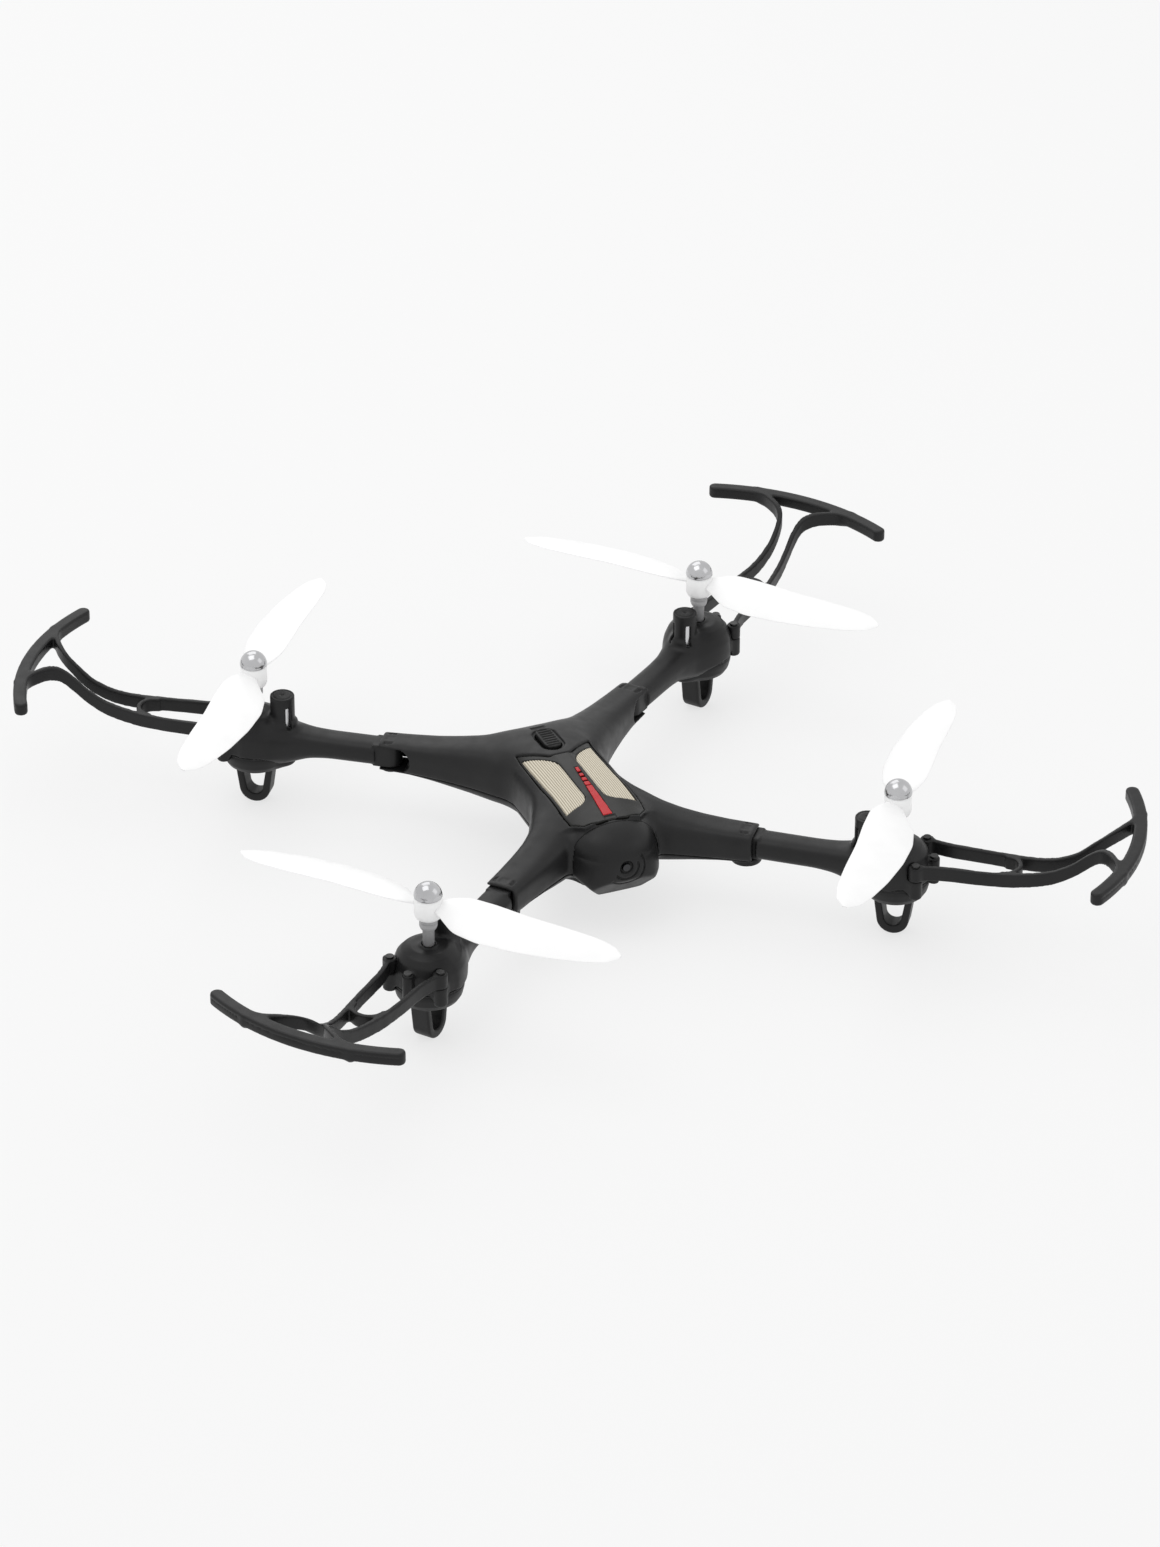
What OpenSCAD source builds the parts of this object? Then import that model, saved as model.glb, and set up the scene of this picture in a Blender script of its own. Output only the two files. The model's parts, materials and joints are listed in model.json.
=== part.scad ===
// Foldable toy quadcopter with geared rotors, landing feet and propeller guards.
// Nose towards -Y, up is +Z, the feet stand on z = 0. One quadrant is described and mirrored to four.

/* [Layout] */
// Half the distance between the left and right rotor axes
rotor_x = 84; // [80:0.5:90]
// Half the distance between the front and rear rotor axes
rotor_y = 81.8; // [78:0.2:88]
// Sideways place of the front fold pivots
front_pivot_x = 44.1; // [42:0.1:46]
// Distance of the front fold pivots ahead of the middle
front_pivot_y = 48.8; // [47:0.1:51]
// Sideways place of the rear fold pivots
rear_pivot_x = 44.9; // [42:0.1:46]
// Distance of the rear fold pivots behind the middle
rear_pivot_y = 52.7; // [51:0.1:54]
// Direction from each rotor axis out through its guard, from the X axis
pod_angle = 37.2; // [35:0.1:40]

/* [Arms] */
// Width of a folding arm
arm_w = 10.8; // [9.6:0.1:10.8]
// Height of a folding arm
arm_h = 8.2; // [7.6:0.1:8.4]
// Height of the arm's centreline above the ground
arm_z = 25.1; // [24.8:0.1:25.4]
// Radius of the round knuckle that turns on the hinge pin
knuckle_r = 4.1; // [3.8:0.1:4.2]
// Radius of the hinge pin
pin_r = 1.5; // [1.2:0.1:1.7]
// Running clearance of moving fits, on the radius
fit = 0.05; // [0.03:0.01:0.08]

/* [Rotor pods] */
// Largest radius of the gear pod
pod_r = 11.8; // [11.6:0.1:12.2]
// Radius of the motor can
motor_r = 3.5; // [3.3:0.1:3.5]
// Radius of the motor cover tower
tower_r = 4.25; // [4.2:0.05:4.6]
// Top of the motor cover tower
tower_top = 42.6; // [42.2:0.1:43.5]
// Gear module
gear_module = 0.3; // [0.3:0.1:0.3]
// Teeth on the main gear
gear_teeth = 58; // [58:1:58]
// Teeth on the motor pinion
pinion_teeth = 9; // [9:1:9]

/* [Rotors] */
// Radius of the propeller
prop_r = 68; // [60:1:70]
// Widest chord of a blade
blade_chord = 18; // [15:0.5:19]
// Top of the silver spinner cap
spinner_top = 58.1; // [57.5:0.1:59]

/* [Guards] */
// Outer radius of the guard bar, about the rotor axis
guard_r = 83; // [80:0.5:85]
// Half of the angle that the guard bar covers
guard_half_angle = 25; // [20:0.5:26]
// Top of the guard bar
guard_top = 46.2; // [44:0.1:47]
// Radial width of the guard bar
guard_w = 4.6; // [4:0.1:5.5]

/* [Body] */
// Wall thickness of the body shells
wall = 1.6; // [1.4:0.1:1.8]
// Height of the joint between the upper and lower shells
split_z = 20.8; // [20.8:0.1:20.9]
// Travel of the power button
button_travel = 0.8; // [0.5:0.1:1.0]

/* [Hidden] */
CORNERS = ["fl", "fr", "rl", "rr"];
CORNER_PARTS = ["arm_shell", "pod_cup", "motor", "pinion", "main_gear", "rotor_shaft", "shaft_bushes",
    "propeller", "spinner_cap", "guard", "pod_screws"];
BODY_PARTS = ["upper_shell", "lower_shell", "top_fascia", "mesh_panel_left", "mesh_panel_right",
    "stripe_inlay", "nose_cover", "camera_lens", "camera_module", "power_button", "power_switch",
    "circuit_board", "battery", "battery_door", "hinge_pins", "shell_screws"];

$fn = 48;
eps = 0.01;
gap = 0.15;
tiny_gap = 0.02;

// Gear layout: the tower stands one centre distance inboard of the rotor axis
gear_pitch_r = gear_module * gear_teeth / 2;
pinion_pitch_r = gear_module * pinion_teeth / 2;
motor_offset = gear_pitch_r + pinion_pitch_r;
gear_bottom = 16.8;
gear_thickness = 2.2;
pinion_bottom = 16.3;
pinion_height = 3.6;

// Heights in the pod
pod_top = 34.6;
pod_rim = 22;
pod_floor = 13.2;
pod_wall = 1.3;
motor_bottom = 21.6;
motor_top = 41.4;
foot_height = 14;
foot_band = 6.8;

// Rotor spindle
shaft_r = 1;
sleeve_r = 1.95;
collar_r = 3;
hub_r = 4.6;
hub_bottom = 45.3;
hub_top = 53;
blade_mid_z = 50.2;
blade_thickness = 1.1;
blade_root = 3.6;

// Hinge sleeve at the end of each body arm
slot_h = arm_h + 0.4;
slot_half_w = 4.5;
slot_depth = 8.3;
sleeve_end = 3.3;
shoulder = 4.5;
pin_head_r = 2.6;
pin_head_h = 0.7;

nose_end = -49.6;
tail_end = 38.8;
// Body sections from nose to tail: y, half width, top, bottom
BODY_STATIONS = [
    [nose_end, 4.5, 27.6, 21.6],
    [-48.8, 9, 29.6, 19.4],
    [-47.2, 12.2, 31.8, 16.6],
    [-44, 14.6, 34.3, 14],
    [-39.5, 16, 36.5, 13.2],
    [-33, 16.9, 37.6, 13],
    [-20, 17.6, 38.2, 13],
    [0, 16.9, 38.7, 13.2],
    [16, 16.7, 38.7, 13.4],
    [27, 17.8, 37.9, 13.6],
    [34, 18.6, 36.3, 14.8],
    [37.6, 18.6, 33.8, 17],
    [tail_end, 17.4, 31.2, 19.6]
];
// Body arm sections from the pivot inwards: distance, half width outside, half width on the waist side, top, bottom
SLEEVE_STATIONS = [
    [-sleeve_end, 6.3, 6.1, 30.6, 19.7],
    [8, 6.8, 6.5, 30.9, 19.2],
    [16, 7.4, 7.3, 31.6, 18.2],
    [24, 8.2, 8.7, 33, 16.8],
    [32, 9.4, 11, 34.6, 15.4],
    [40, 10.4, 14, 36, 14.5],
    [48, 10.4, 16, 37, 14]
];
// Pod profile from the crown of the top to the rim: radius, height
POD_PROFILE = [[0, pod_top], [6.2, pod_top], [8.8, 33.6], [10.6, 31.4], [11.6, 28.4], [pod_r, 25.2], [pod_r, pod_rim]];
// Cup profile from the rim to the floor
CUP_PROFILE = [[pod_r, pod_rim], [11.5, 19.6], [10.6, 17], [9, 14.8], [7, 13.6], [5, pod_floor], [0, pod_floor]];
// Guard rail: distance out from the rotor axis, distance to each side, top
RAIL_STATIONS = [
    [10.2, 9.2, 31.3],
    [18, 7.6, 31.3],
    [30, 7, 31.1],
    [40, 6, 31.2],
    [48, 4.9, 32],
    [54, 4.2, 33.4],
    [60.6, 3.5, 36.8],
    [65, 3.5, 40.8],
    [69, 4.4, 44.2],
    [72.2, 7, 45.8],
    [75, 11, guard_top],
    [77.5, 15.6, guard_top],
    [79.1, 19.5, guard_top]
];
rail_t = 1.8;
rail_h = 5;
brace_u = 36.6;
brace_r = 6.3;
guard_h = 4.3;
ear_r = 2.4;
ear_u = 8.6;
ear_v = 9.6;
ear_bottom = 26.3;
ear_top = 31.3;
post_u = 13;
post_top = 30.2;
ring_points = 24;
sleeve_points = 20;

// Nose cover, camera lens and power button
nose_seam = -37.8;
lens_z = 25.4;
lens_r = 1.3;
button_y = 19;
button_l = 13;
button_w = 6;
button_top = 39.2;

// Insides of the body
board_z = 29.4;
board_t = 1.2;
DOOR_SIZE = [22, 38, 1.6];
door_y = -8;
door_bottom = 13.2;
BATTERY_SIZE = [20, 36, 11];
battery_bottom = 15.6;
SHELL_SCREWS = [[-12, 28.5], [12, 28.5], [-13, -32], [13, -32]];
screw_post_r = 2.6;
screw_r = 1;
screw_head_r = 1.9;

// Band of height that holds every plan cut into the top of the body
over_z = 30;
over_h = 20;

function is_front(c) = c == "fl" || c == "fr";
function is_left(c) = c == "fl" || c == "rl";
function pivot(c) = is_front(c) ? [front_pivot_x, front_pivot_y] : [rear_pivot_x, rear_pivot_y];
function arm_vector(c) = [rotor_x, rotor_y] - pivot(c);
function arm_angle(c) = atan2(arm_vector(c)[1], arm_vector(c)[0]);
function arm_length(c) = norm(arm_vector(c));

// The boss under each fold pivot: broad under the front sleeves, small under the rear ones
function boss_r(c) = is_front(c) ? 5.35 : 3.7;
function boss_bottom(c) = is_front(c) ? 18.2 : 18.9;

// A squared-off ellipse: half sizes a and b, with n setting how square it is
function squircle(a, b, n, count = ring_points) = [
    for (i = [0 : count - 1])
        let (t = 360 * i / count, c = cos(t), s = sin(t))
        [a * sign(c) * pow(abs(c), 2 / n), b * sign(s) * pow(abs(s), 2 / n)]
];

// Draws its children in the mirrored place of a corner
module at_corner(c) {
    mirror([is_left(c) ? 1 : 0, 0, 0]) mirror([0, is_front(c) ? 1 : 0, 0]) children();
}

// Frame of a rotor pod: origin on the rotor axis, +X out through the guard
module pod_frame() {
    translate([rotor_x, rotor_y, 0]) rotate(pod_angle) children();
}

// Frame of a folding arm: origin on the pivot, +X towards the rotor
module arm_frame(c) {
    translate(concat(pivot(c), 0)) rotate(arm_angle(c)) children();
}

// Skin through a list of rings that all have the same number of points
module loft(rings) {
    n = len(rings[0]);
    last = len(rings) - 1;
    points = [for (r = rings) for (p = r) p];
    sides = [
        for (j = [0 : last - 1]) for (i = [0 : n - 1])
            let (a = j * n + i, b = j * n + (i + 1) % n, c = a + n, d = b + n)
            each [[a, c, b], [b, c, d]]
    ];
    caps = [[for (i = [0 : n - 1]) i], [for (i = [n - 1 : -1 : 0]) last * n + i]];
    polyhedron(points, concat(sides, caps), convexity = 6);
}

// Joins its children into one even skin without changing their size
module welded() {
    resize([0, 0, 0]) children();
}

// Central body, drawn smaller by inset on every side
module body_loft(inset = 0) {
    loft([
        for (s = BODY_STATIONS)
            let (mid = (s[2] + s[3]) / 2, y = min(max(s[0], nose_end + inset), tail_end - inset))
            [for (p = squircle(s[1] - inset, (s[2] - s[3]) / 2 - inset, 3.2)) [-p[0], y, mid + p[1]]]
    ]);
}

// One body arm, from the hinge sleeve into the body
module sleeve_loft() {
    loft([
        for (s = SLEEVE_STATIONS)
            let (mid = (s[3] + s[4]) / 2)
            [for (p = squircle(1, (s[3] - s[4]) / 2, 2.9, sleeve_points))
                [-s[0], -p[0] * (p[0] < 0 ? s[1] : s[2]), mid + p[1]]]
    ]);
}

module body_outer() {
    body_loft();
    for (c = CORNERS) at_corner(c) arm_frame(c) sleeve_loft();
}

// Room inside the closed shells
module body_inner() {
    translate([-13, -41, 17]) cube([26, 73, 16.6]);
    translate([-9.5, -38, 15]) cube([19, 62, 21]);
    for (c = CORNERS) at_corner(c) arm_frame(c) {
        translate([-44, -4.9, 20]) cube([30, 9.8, 9.4]);
        translate([-44, -6.2, 18]) cube([20, 12.4, 13]);
    }
}

// Both shells in one piece, hollow
module body_skin() {
    difference() {
        body_outer();
        body_inner();
    }
}

// Slot in the sleeve's end that the arm swings through, open to the waist side
module hinge_slot() {
    translate([-slot_depth + 4, -30, arm_z - slot_h / 2]) cube([slot_depth + 10, 30 + slot_half_w, slot_h]);
    translate([-slot_depth + 4, -30, arm_z]) rotate([-90, 0, 0]) cylinder(r = slot_h / 2, h = 30 + slot_half_w);
}

module above_split() {
    translate([-100, -100, split_z]) cube([200, 200, 40]);
}

module below_split() {
    translate([-100, -100, 0]) cube([200, 200, split_z]);
}

// Plan of the glossy top panel
module fascia_plan(grow = 0) {
    g = grow;
    polygon([
        [-13.4 - g, 15.6 + g], [-4.2, 8.9 + g], [4.2, 8.9 + g], [13.4 + g, 15.6 + g],
        [13.6 + g, -30], [12.6 + g, -34.2 - g], [9, -37.6 - g], [-9, -37.6 - g], [-12.6 - g, -34.2 - g],
        [-13.6 - g, -30]
    ]);
}

// Plan of the right-hand speaker-cloth panel, sharp outside, round inside
module mesh_plan(grow = 0) {
    offset(delta = grow) hull() {
        translate([12.1, 10.6]) circle(r = 0.1, $fn = 16);
        translate([12.1, -28.2]) circle(r = 0.1, $fn = 16);
        translate([5.7, 3.9]) circle(r = 2.5, $fn = 32);
        translate([5.7, -22.9]) circle(r = 2.5, $fn = 32);
    }
}

// Plan of the red wedge, which leans to the right towards the tail
module stripe_plan(grow = 0) {
    offset(delta = grow) polygon([[-1.9, -33.6], [1.5, -33.6], [2, -2.4], [1.2, -2.4]]);
}

// Part of the body between two depths under its surface, over a plan
module skin_piece(top_depth, bottom_depth) {
    welded() intersection() {
        difference() {
            body_loft(top_depth);
            body_loft(bottom_depth);
        }
        translate([0, 0, over_z]) linear_extrude(over_h) children();
    }
}

// Room for a skin piece: everything over the plan, down to a depth
module skin_pocket(depth) {
    difference() {
        translate([0, 0, over_z]) linear_extrude(over_h) children();
        body_loft(depth);
    }
}

module ahead_of_seam(grow = 0) {
    translate([-30, -60, 0]) cube([60, 60 + nose_seam + grow, 60]);
}

// Room that the shells leave for the nose cover
module nose_room() {
    intersection() {
        body_loft(-gap);
        ahead_of_seam(gap);
    }
}

module button_plan(grow = 0) {
    for (s = [-1, 1]) translate([0, button_y + s * (button_l - button_w) / 2]) circle(d = button_w + 2 * grow);
    square_w = button_w + 2 * grow;
    translate([-square_w / 2, button_y - (button_l - button_w) / 2]) square([square_w, button_l - button_w]);
}

module shell_posts() {
    for (p = SHELL_SCREWS) translate([p[0], p[1], split_z]) cylinder(r = screw_post_r, h = 13);
}

module upper_shell() {
    color([0.17, 0.17, 0.17]) difference() {
        union() {
            welded() difference() {
                intersection() {
                    body_skin();
                    above_split();
                }
                skin_pocket(1.1) fascia_plan(gap);
                nose_room();
                for (c = CORNERS) at_corner(c) arm_frame(c) hinge_slot();
            }
            shell_posts();
        }
        for (c = CORNERS) at_corner(c) arm_frame(c) translate([0, 0, 25]) cylinder(r = pin_r + tiny_gap, h = 4.9);
        translate([0, 0, over_z]) linear_extrude(over_h) button_plan(0.3);
        for (p = SHELL_SCREWS) translate([p[0], p[1], split_z - 1]) cylinder(r = screw_r + tiny_gap, h = 9);
    }
}

module lower_shell() {
    color([0.15, 0.15, 0.15]) difference() {
        union() {
            welded() difference() {
                intersection() {
                    body_skin();
                    translate([0, 0, -gap]) below_split();
                }
                nose_room();
                for (c = CORNERS) at_corner(c) arm_frame(c) hinge_slot();
                translate([-DOOR_SIZE[0] / 2 - gap, door_y - DOOR_SIZE[1] / 2 - gap, 0])
                    cube([DOOR_SIZE[0] + 2 * gap, DOOR_SIZE[1] + 2 * gap, 17]);
            }
            for (c = CORNERS) at_corner(c) arm_frame(c)
                translate([0, 0, boss_bottom(c)]) cylinder(r = boss_r(c), h = split_z - gap - boss_bottom(c));
            for (p = SHELL_SCREWS) translate([p[0], p[1], 14.2]) cylinder(r = 3.2, h = split_z - gap - 14.2);
        }
        for (c = CORNERS) at_corner(c) arm_frame(c) {
            translate([0, 0, boss_bottom(c) - 1]) cylinder(r = pin_r + tiny_gap, h = 6);
            translate([0, 0, boss_bottom(c) - 1]) cylinder(r = pin_head_r + 0.1, h = pin_head_h + 1.1);
        }
        for (p = SHELL_SCREWS) translate([p[0], p[1], 10]) {
            cylinder(r = screw_r + 0.1, h = 20);
            cylinder(r = screw_head_r + 0.1, h = 6.6);
        }
    }
}

module top_fascia() {
    color([0.06, 0.06, 0.06]) difference() {
        skin_piece(0, 1) fascia_plan();
        for (s = [0, 1]) mirror([s, 0, 0]) translate([0, 0, over_z]) linear_extrude(over_h) mesh_plan(gap);
        skin_pocket(0.55) stripe_plan(0.05);
    }
}

module mesh_panel() {
    color([0.78, 0.75, 0.67]) skin_piece(0.2, 1) mesh_plan();
}

module mesh_panel_right() {
    mesh_panel();
}

module mesh_panel_left() {
    mirror([1, 0, 0]) mesh_panel();
}

module stripe_inlay() {
    color([0.78, 0.15, 0.17]) skin_piece(0, 0.5) stripe_plan();
}

module nose_cover() {
    color([0.19, 0.19, 0.19]) difference() {
        welded() intersection() {
            difference() {
                body_loft();
                body_loft(wall);
            }
            ahead_of_seam();
        }
        translate([0, -60, lens_z]) rotate([-90, 0, 0]) cylinder(r = lens_r + tiny_gap, h = 20);
    }
}

module camera_lens() {
    color([0.05, 0.05, 0.06]) translate([0, -49.3, lens_z]) rotate([-90, 0, 0]) {
        cylinder(r = lens_r, h = 2.3);
        translate([0, 0, 2.3]) cylinder(r = 2.4, h = 0.8);
    }
}

module camera_module() {
    color([0.12, 0.2, 0.14]) translate([0, -46.1, lens_z]) rotate([-90, 0, 0]) {
        cylinder(r = 2.3, h = 3.2);
        translate([-4, -4, 3.2]) cube([8, 8, 1]);
    }
}

module power_button() {
    color([0.1, 0.1, 0.1]) difference() {
        union() {
            translate([0, 0, button_top - 2.6]) linear_extrude(2.6) button_plan();
            translate([0, button_y, 33.2]) cylinder(r = 1.4, h = 4);
        }
        for (i = [-2 : 2]) translate([0, button_y + 0.4 + 2 * i, button_top])
            rotate([0, 90, 0]) cylinder(r = 0.4, h = 4.4, center = true);
    }
}

module power_switch() {
    color([0.75, 0.75, 0.75]) translate([0, button_y, board_z + board_t]) {
        translate([-2.6, -2.6, 0]) cube([5.2, 5.2, 1.2]);
        cylinder(r = 1.2, h = 1.5);
    }
}

module circuit_board() {
    color([0.08, 0.3, 0.16]) difference() {
        translate([-11, -36, board_z]) cube([22, 62, board_t]);
        for (p = SHELL_SCREWS) translate([p[0], p[1], board_z - 1]) cylinder(r = screw_post_r + 0.3, h = 4);
    }
}

module battery() {
    color([0.25, 0.35, 0.6]) translate([-BATTERY_SIZE[0] / 2, door_y - BATTERY_SIZE[1] / 2, battery_bottom])
        cube(BATTERY_SIZE);
}

module battery_door() {
    color([0.16, 0.16, 0.16]) translate([-DOOR_SIZE[0] / 2, door_y - DOOR_SIZE[1] / 2, door_bottom])
        cube(DOOR_SIZE);
}

module hinge_pins() {
    color([0.6, 0.6, 0.62]) for (c = CORNERS) at_corner(c) arm_frame(c) {
        translate([0, 0, boss_bottom(c) + 0.1]) cylinder(r = pin_head_r, h = pin_head_h);
        translate([0, 0, boss_bottom(c) + 0.1]) cylinder(r = pin_r, h = 29.7 - boss_bottom(c));
    }
}

module shell_screws() {
    color([0.6, 0.6, 0.62]) for (p = SHELL_SCREWS) translate([p[0], p[1], 15.4]) {
        cylinder(r = screw_head_r, h = 1.1);
        cylinder(r = screw_r, h = 12);
    }
}

// Tube of a folding arm with its flare into the pod
module arm_tube(c, inset = 0) {
    l = arm_length(c);
    stations = [
        [shoulder, 0, 0, 0],
        [l - 26, 0, 0, 0],
        [l - 19, 0.5, 0.5, 0.8],
        [l - 13, 2.6, 1.6, 2.6],
        [l - 7, 4.4, 2.4, 4.4],
        [l, 5, 2.4, 5]
    ];
    loft([
        for (s = stations)
            [for (p = squircle(arm_w / 2 + s[1] - inset, 1, 2.7, 20))
                [s[0] + (inset > 0 && s[0] == shoulder ? 3 : 0), p[0],
                    arm_z + p[1] * (arm_h / 2 - inset + (p[1] > 0 ? s[2] : s[3]))]]
    ]);
}

module pod_revolve(profile, inset = 0) {
    rotate_extrude($fn = 64) polygon(concat([[0, profile[len(profile) - 1][1]]],
        [for (i = [len(profile) - 1 : -1 : 0]) [max(0, profile[i][0] - (profile[i][0] > 0 ? inset : 0)),
            profile[i][1] - (profile[i][1] > pod_rim ? inset : 0)]]));
}

module arm_shell(c) {
    color([0.15, 0.15, 0.15]) difference() {
        union() {
            arm_frame(c) {
                arm_tube(c);
                translate([0, 0, arm_z - arm_h / 2]) cylinder(r = knuckle_r, h = arm_h);
                translate([0, -knuckle_r, arm_z - arm_h / 2]) cube([shoulder + 1, 2 * knuckle_r, arm_h]);
            }
            pod_frame() {
                pod_revolve(POD_PROFILE);
                translate([-motor_offset, 0, pod_rim]) cylinder(r = tower_r, h = tower_top - pod_rim);
                for (s = [-1, 1]) translate([ear_u, s * ear_v, 19.5]) cylinder(r = ear_r, h = ear_bottom - 19.6);
                translate([post_u, 0, pod_rim]) cylinder(r = 1.9, h = post_top - pod_rim);
            }
        }
        arm_frame(c) {
            arm_tube(c, 1.3);
            translate([0, 0, 10]) cylinder(r = pin_r + fit, h = 30);
        }
        pod_frame() {
            gear_room();
            translate([-motor_offset, 0, 10]) cylinder(r = motor_r + tiny_gap, h = motor_top + 0.2 - 10);
            translate([0, 0, 30]) cylinder(r = 2.2, h = 10);
            tower_slots();
            for (s = [-1, 1]) translate([ear_u, s * ear_v, 0]) {
                translate([0, 0, 18]) cylinder(r = 0.7, h = 20);
                translate([0, 0, ear_bottom - 0.05]) cylinder(r = ear_r + gap, h = 20);
            }
            translate([post_u, 0, 24]) cylinder(r = 0.7, h = 10);
        }
    }
}

// Free space that the gears turn in
module gear_room() {
    translate([0, 0, pod_rim - 1]) cylinder(r = pod_r - pod_wall, h = 5);
    translate([0, 0, pod_rim + 3.5]) cylinder(r = 8, h = pod_top - pod_wall - pod_rim - 3.5);
    intersection() {
        translate([-30, -30, 0]) cube([60, 60, pod_rim]);
        pod_envelope(tiny_gap);
    }
}

// Outside of the pod cup, which closes the gear chamber from below
module pod_envelope(grow = 0) {
    rotate_extrude($fn = 64) polygon(concat([[0, pod_rim]],
        [for (p = CUP_PROFILE) [p[0] > 0 ? p[0] + grow : 0, p[1] < pod_rim ? p[1] - grow : pod_rim]]));
    translate([-motor_offset, 0, 15.2 - grow]) cylinder(r = 4.4 + grow, h = pod_rim - 15.2);
}

module tower_slots() {
    for (a = [135, 225]) translate([-motor_offset, 0, 31.5]) rotate(a)
        translate([0, -0.8, 0]) cube([8, 1.6, 7]);
}

module pod_cup() {
    color([0.14, 0.14, 0.14]) pod_frame() {
        difference() {
            union() {
                pod_envelope();
                foot();
                translate([0, 0, pod_floor]) cylinder(r = 3, h = 2);
            }
            translate([0, 0, 15.4]) cylinder(r = 10, h = 10);
            translate([-motor_offset, 0, 15.9]) cylinder(r = 3.4, h = 10);
            translate([-motor_offset, 0, motor_bottom - gap]) cylinder(r = motor_r + gap, h = 10);
            translate([0, 0, 14.2]) cylinder(r = 1.9, h = 10);
        }
    }
}

// Sprung-looking landing loop under the pod
module foot() {
    rotate([90, 0, 0]) translate([0, 0, -foot_band / 2]) linear_extrude(foot_band) difference() {
        union() {
            intersection() {
                translate([0, 5.2]) circle(r = 5.5);
                translate([-10, 0]) square([20, 20]);
            }
            polygon([[-5.5, 5.2], [5.5, 5.2], [6.75, foot_height], [-6.75, foot_height]]);
        }
        translate([0, 6]) circle(r = 3);
        polygon([[-3, 6], [3, 6], [4.1, 13.1], [-4.1, 13.1]]);
    }
}

module motor() {
    color([0.72, 0.72, 0.74]) pod_frame() translate([-motor_offset, 0, 0]) difference() {
        translate([0, 0, motor_bottom]) cylinder(r = motor_r, h = motor_top - motor_bottom);
        translate([0, 0, motor_bottom - 1]) cylinder(r = 0.55, h = 6);
    }
}

// Outline of a spur gear with slim teeth, one tooth centred on +X turned by start
module gear_plan(teeth, start) {
    r = gear_module * teeth / 2;
    tip = r + gear_module * 0.85;
    root = r - gear_module * 1.2;
    pitch = 360 / teeth;
    polygon([
        for (i = [0 : teeth - 1])
            let (a = start + i * pitch)
            each [
                for (k = [[root, -0.33], [tip, -0.1], [tip, 0.1], [root, 0.33]])
                    [k[0] * cos(a + k[1] * pitch), k[0] * sin(a + k[1] * pitch)]
            ]
    ]);
}

module main_gear() {
    color([0.93, 0.93, 0.9]) pod_frame() translate([0, 0, gear_bottom]) difference() {
        union() {
            linear_extrude(gear_thickness) gear_plan(gear_teeth, 180);
            cylinder(r = 2.6, h = gear_thickness + 1.6);
        }
        translate([0, 0, -1]) cylinder(r = shaft_r + tiny_gap, h = 10);
        for (a = [30 : 60 : 330]) rotate(a) translate([5.4, 0, -1]) cylinder(r = 1.4, h = 6);
    }
}

module pinion() {
    color([0.8, 0.65, 0.3]) pod_frame() translate([-motor_offset, 0, pinion_bottom]) {
        linear_extrude(pinion_height) gear_plan(pinion_teeth, 180 / pinion_teeth);
        cylinder(r = 0.5, h = 9.5);
    }
}

module rotor_shaft() {
    color([0.62, 0.62, 0.62]) pod_frame() {
        translate([0, 0, 14.4]) cylinder(r = shaft_r, h = 50.2 - 14.4);
        translate([0, 0, 33.3]) cylinder(r = sleeve_r, h = 8);
        translate([0, 0, 40.4]) cylinder(r1 = 2.2, r2 = collar_r, h = 1.2);
        translate([0, 0, 41.6]) cylinder(r = collar_r, h = hub_bottom - 41.6 - tiny_gap);
    }
}

// Two plain bearings: one under the pod's top, one in the cup's floor
module shaft_bushes() {
    color([0.75, 0.55, 0.25]) pod_frame() {
        bush(30.8, 2.18, 2.4);
        bush(14.2, 1.88, 1.8);
    }
}

module bush(z, r, h) {
    translate([0, 0, z]) difference() {
        cylinder(r = r, h = h);
        translate([0, 0, -1]) cylinder(r = shaft_r + fit, h = h + 2);
    }
}

// Blade sections: share of the radius, leading edge, trailing edge, pitch
BLADE_STATIONS = [
    [0.055, 2.2, -2.6, 16],
    [0.1, 4.4, -5.6, 17],
    [0.18, 5.6, -10.4, 16],
    [0.32, 4.6, -13.4, 14],
    [0.5, 2.6, -14.4, 12],
    [0.7, 1.4, -13.8, 10],
    [0.86, 0, -12.2, 9],
    [0.95, -2, -10.4, 8],
    [1, -5, -7.4, 8]
];

// Blade along +X, its leading edge ahead for an anticlockwise turn seen from above
module blade() {
    loft([
        for (s = BLADE_STATIONS)
            let (mid = (s[1] + s[2]) / 2, half = (s[1] - s[2]) / 2 * blade_chord / 18)
            [for (p = squircle(half, blade_thickness / 2, 2, 12))
                [s[0] * prop_r, mid + p[0] * cos(s[3]) - p[1] * sin(s[3]),
                    blade_mid_z + p[0] * sin(s[3]) + p[1] * cos(s[3])]]
    ]);
}

module propeller() {
    color([0.96, 0.96, 0.96]) translate([rotor_x, rotor_y, 0]) difference() {
        union() {
            translate([0, 0, hub_bottom]) cylinder(r = hub_r, h = hub_top - hub_bottom);
            for (a = [135, 315]) rotate(a) blade();
        }
        translate([0, 0, hub_bottom - 1]) cylinder(r = shaft_r + tiny_gap, h = 6.2);
        translate([0, 0, 50.6]) cylinder(r = 2 + tiny_gap, h = 5);
    }
}

module spinner_cap() {
    color([0.85, 0.85, 0.87]) translate([rotor_x, rotor_y, 0]) {
        rotate_extrude($fn = 64) intersection() {
            translate([0, spinner_top - 4.7]) circle(r = 4.7);
            translate([0, hub_top + tiny_gap]) square([10, 10]);
        }
        translate([0, 0, 51]) cylinder(r = 2, h = 3);
    }
}

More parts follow.
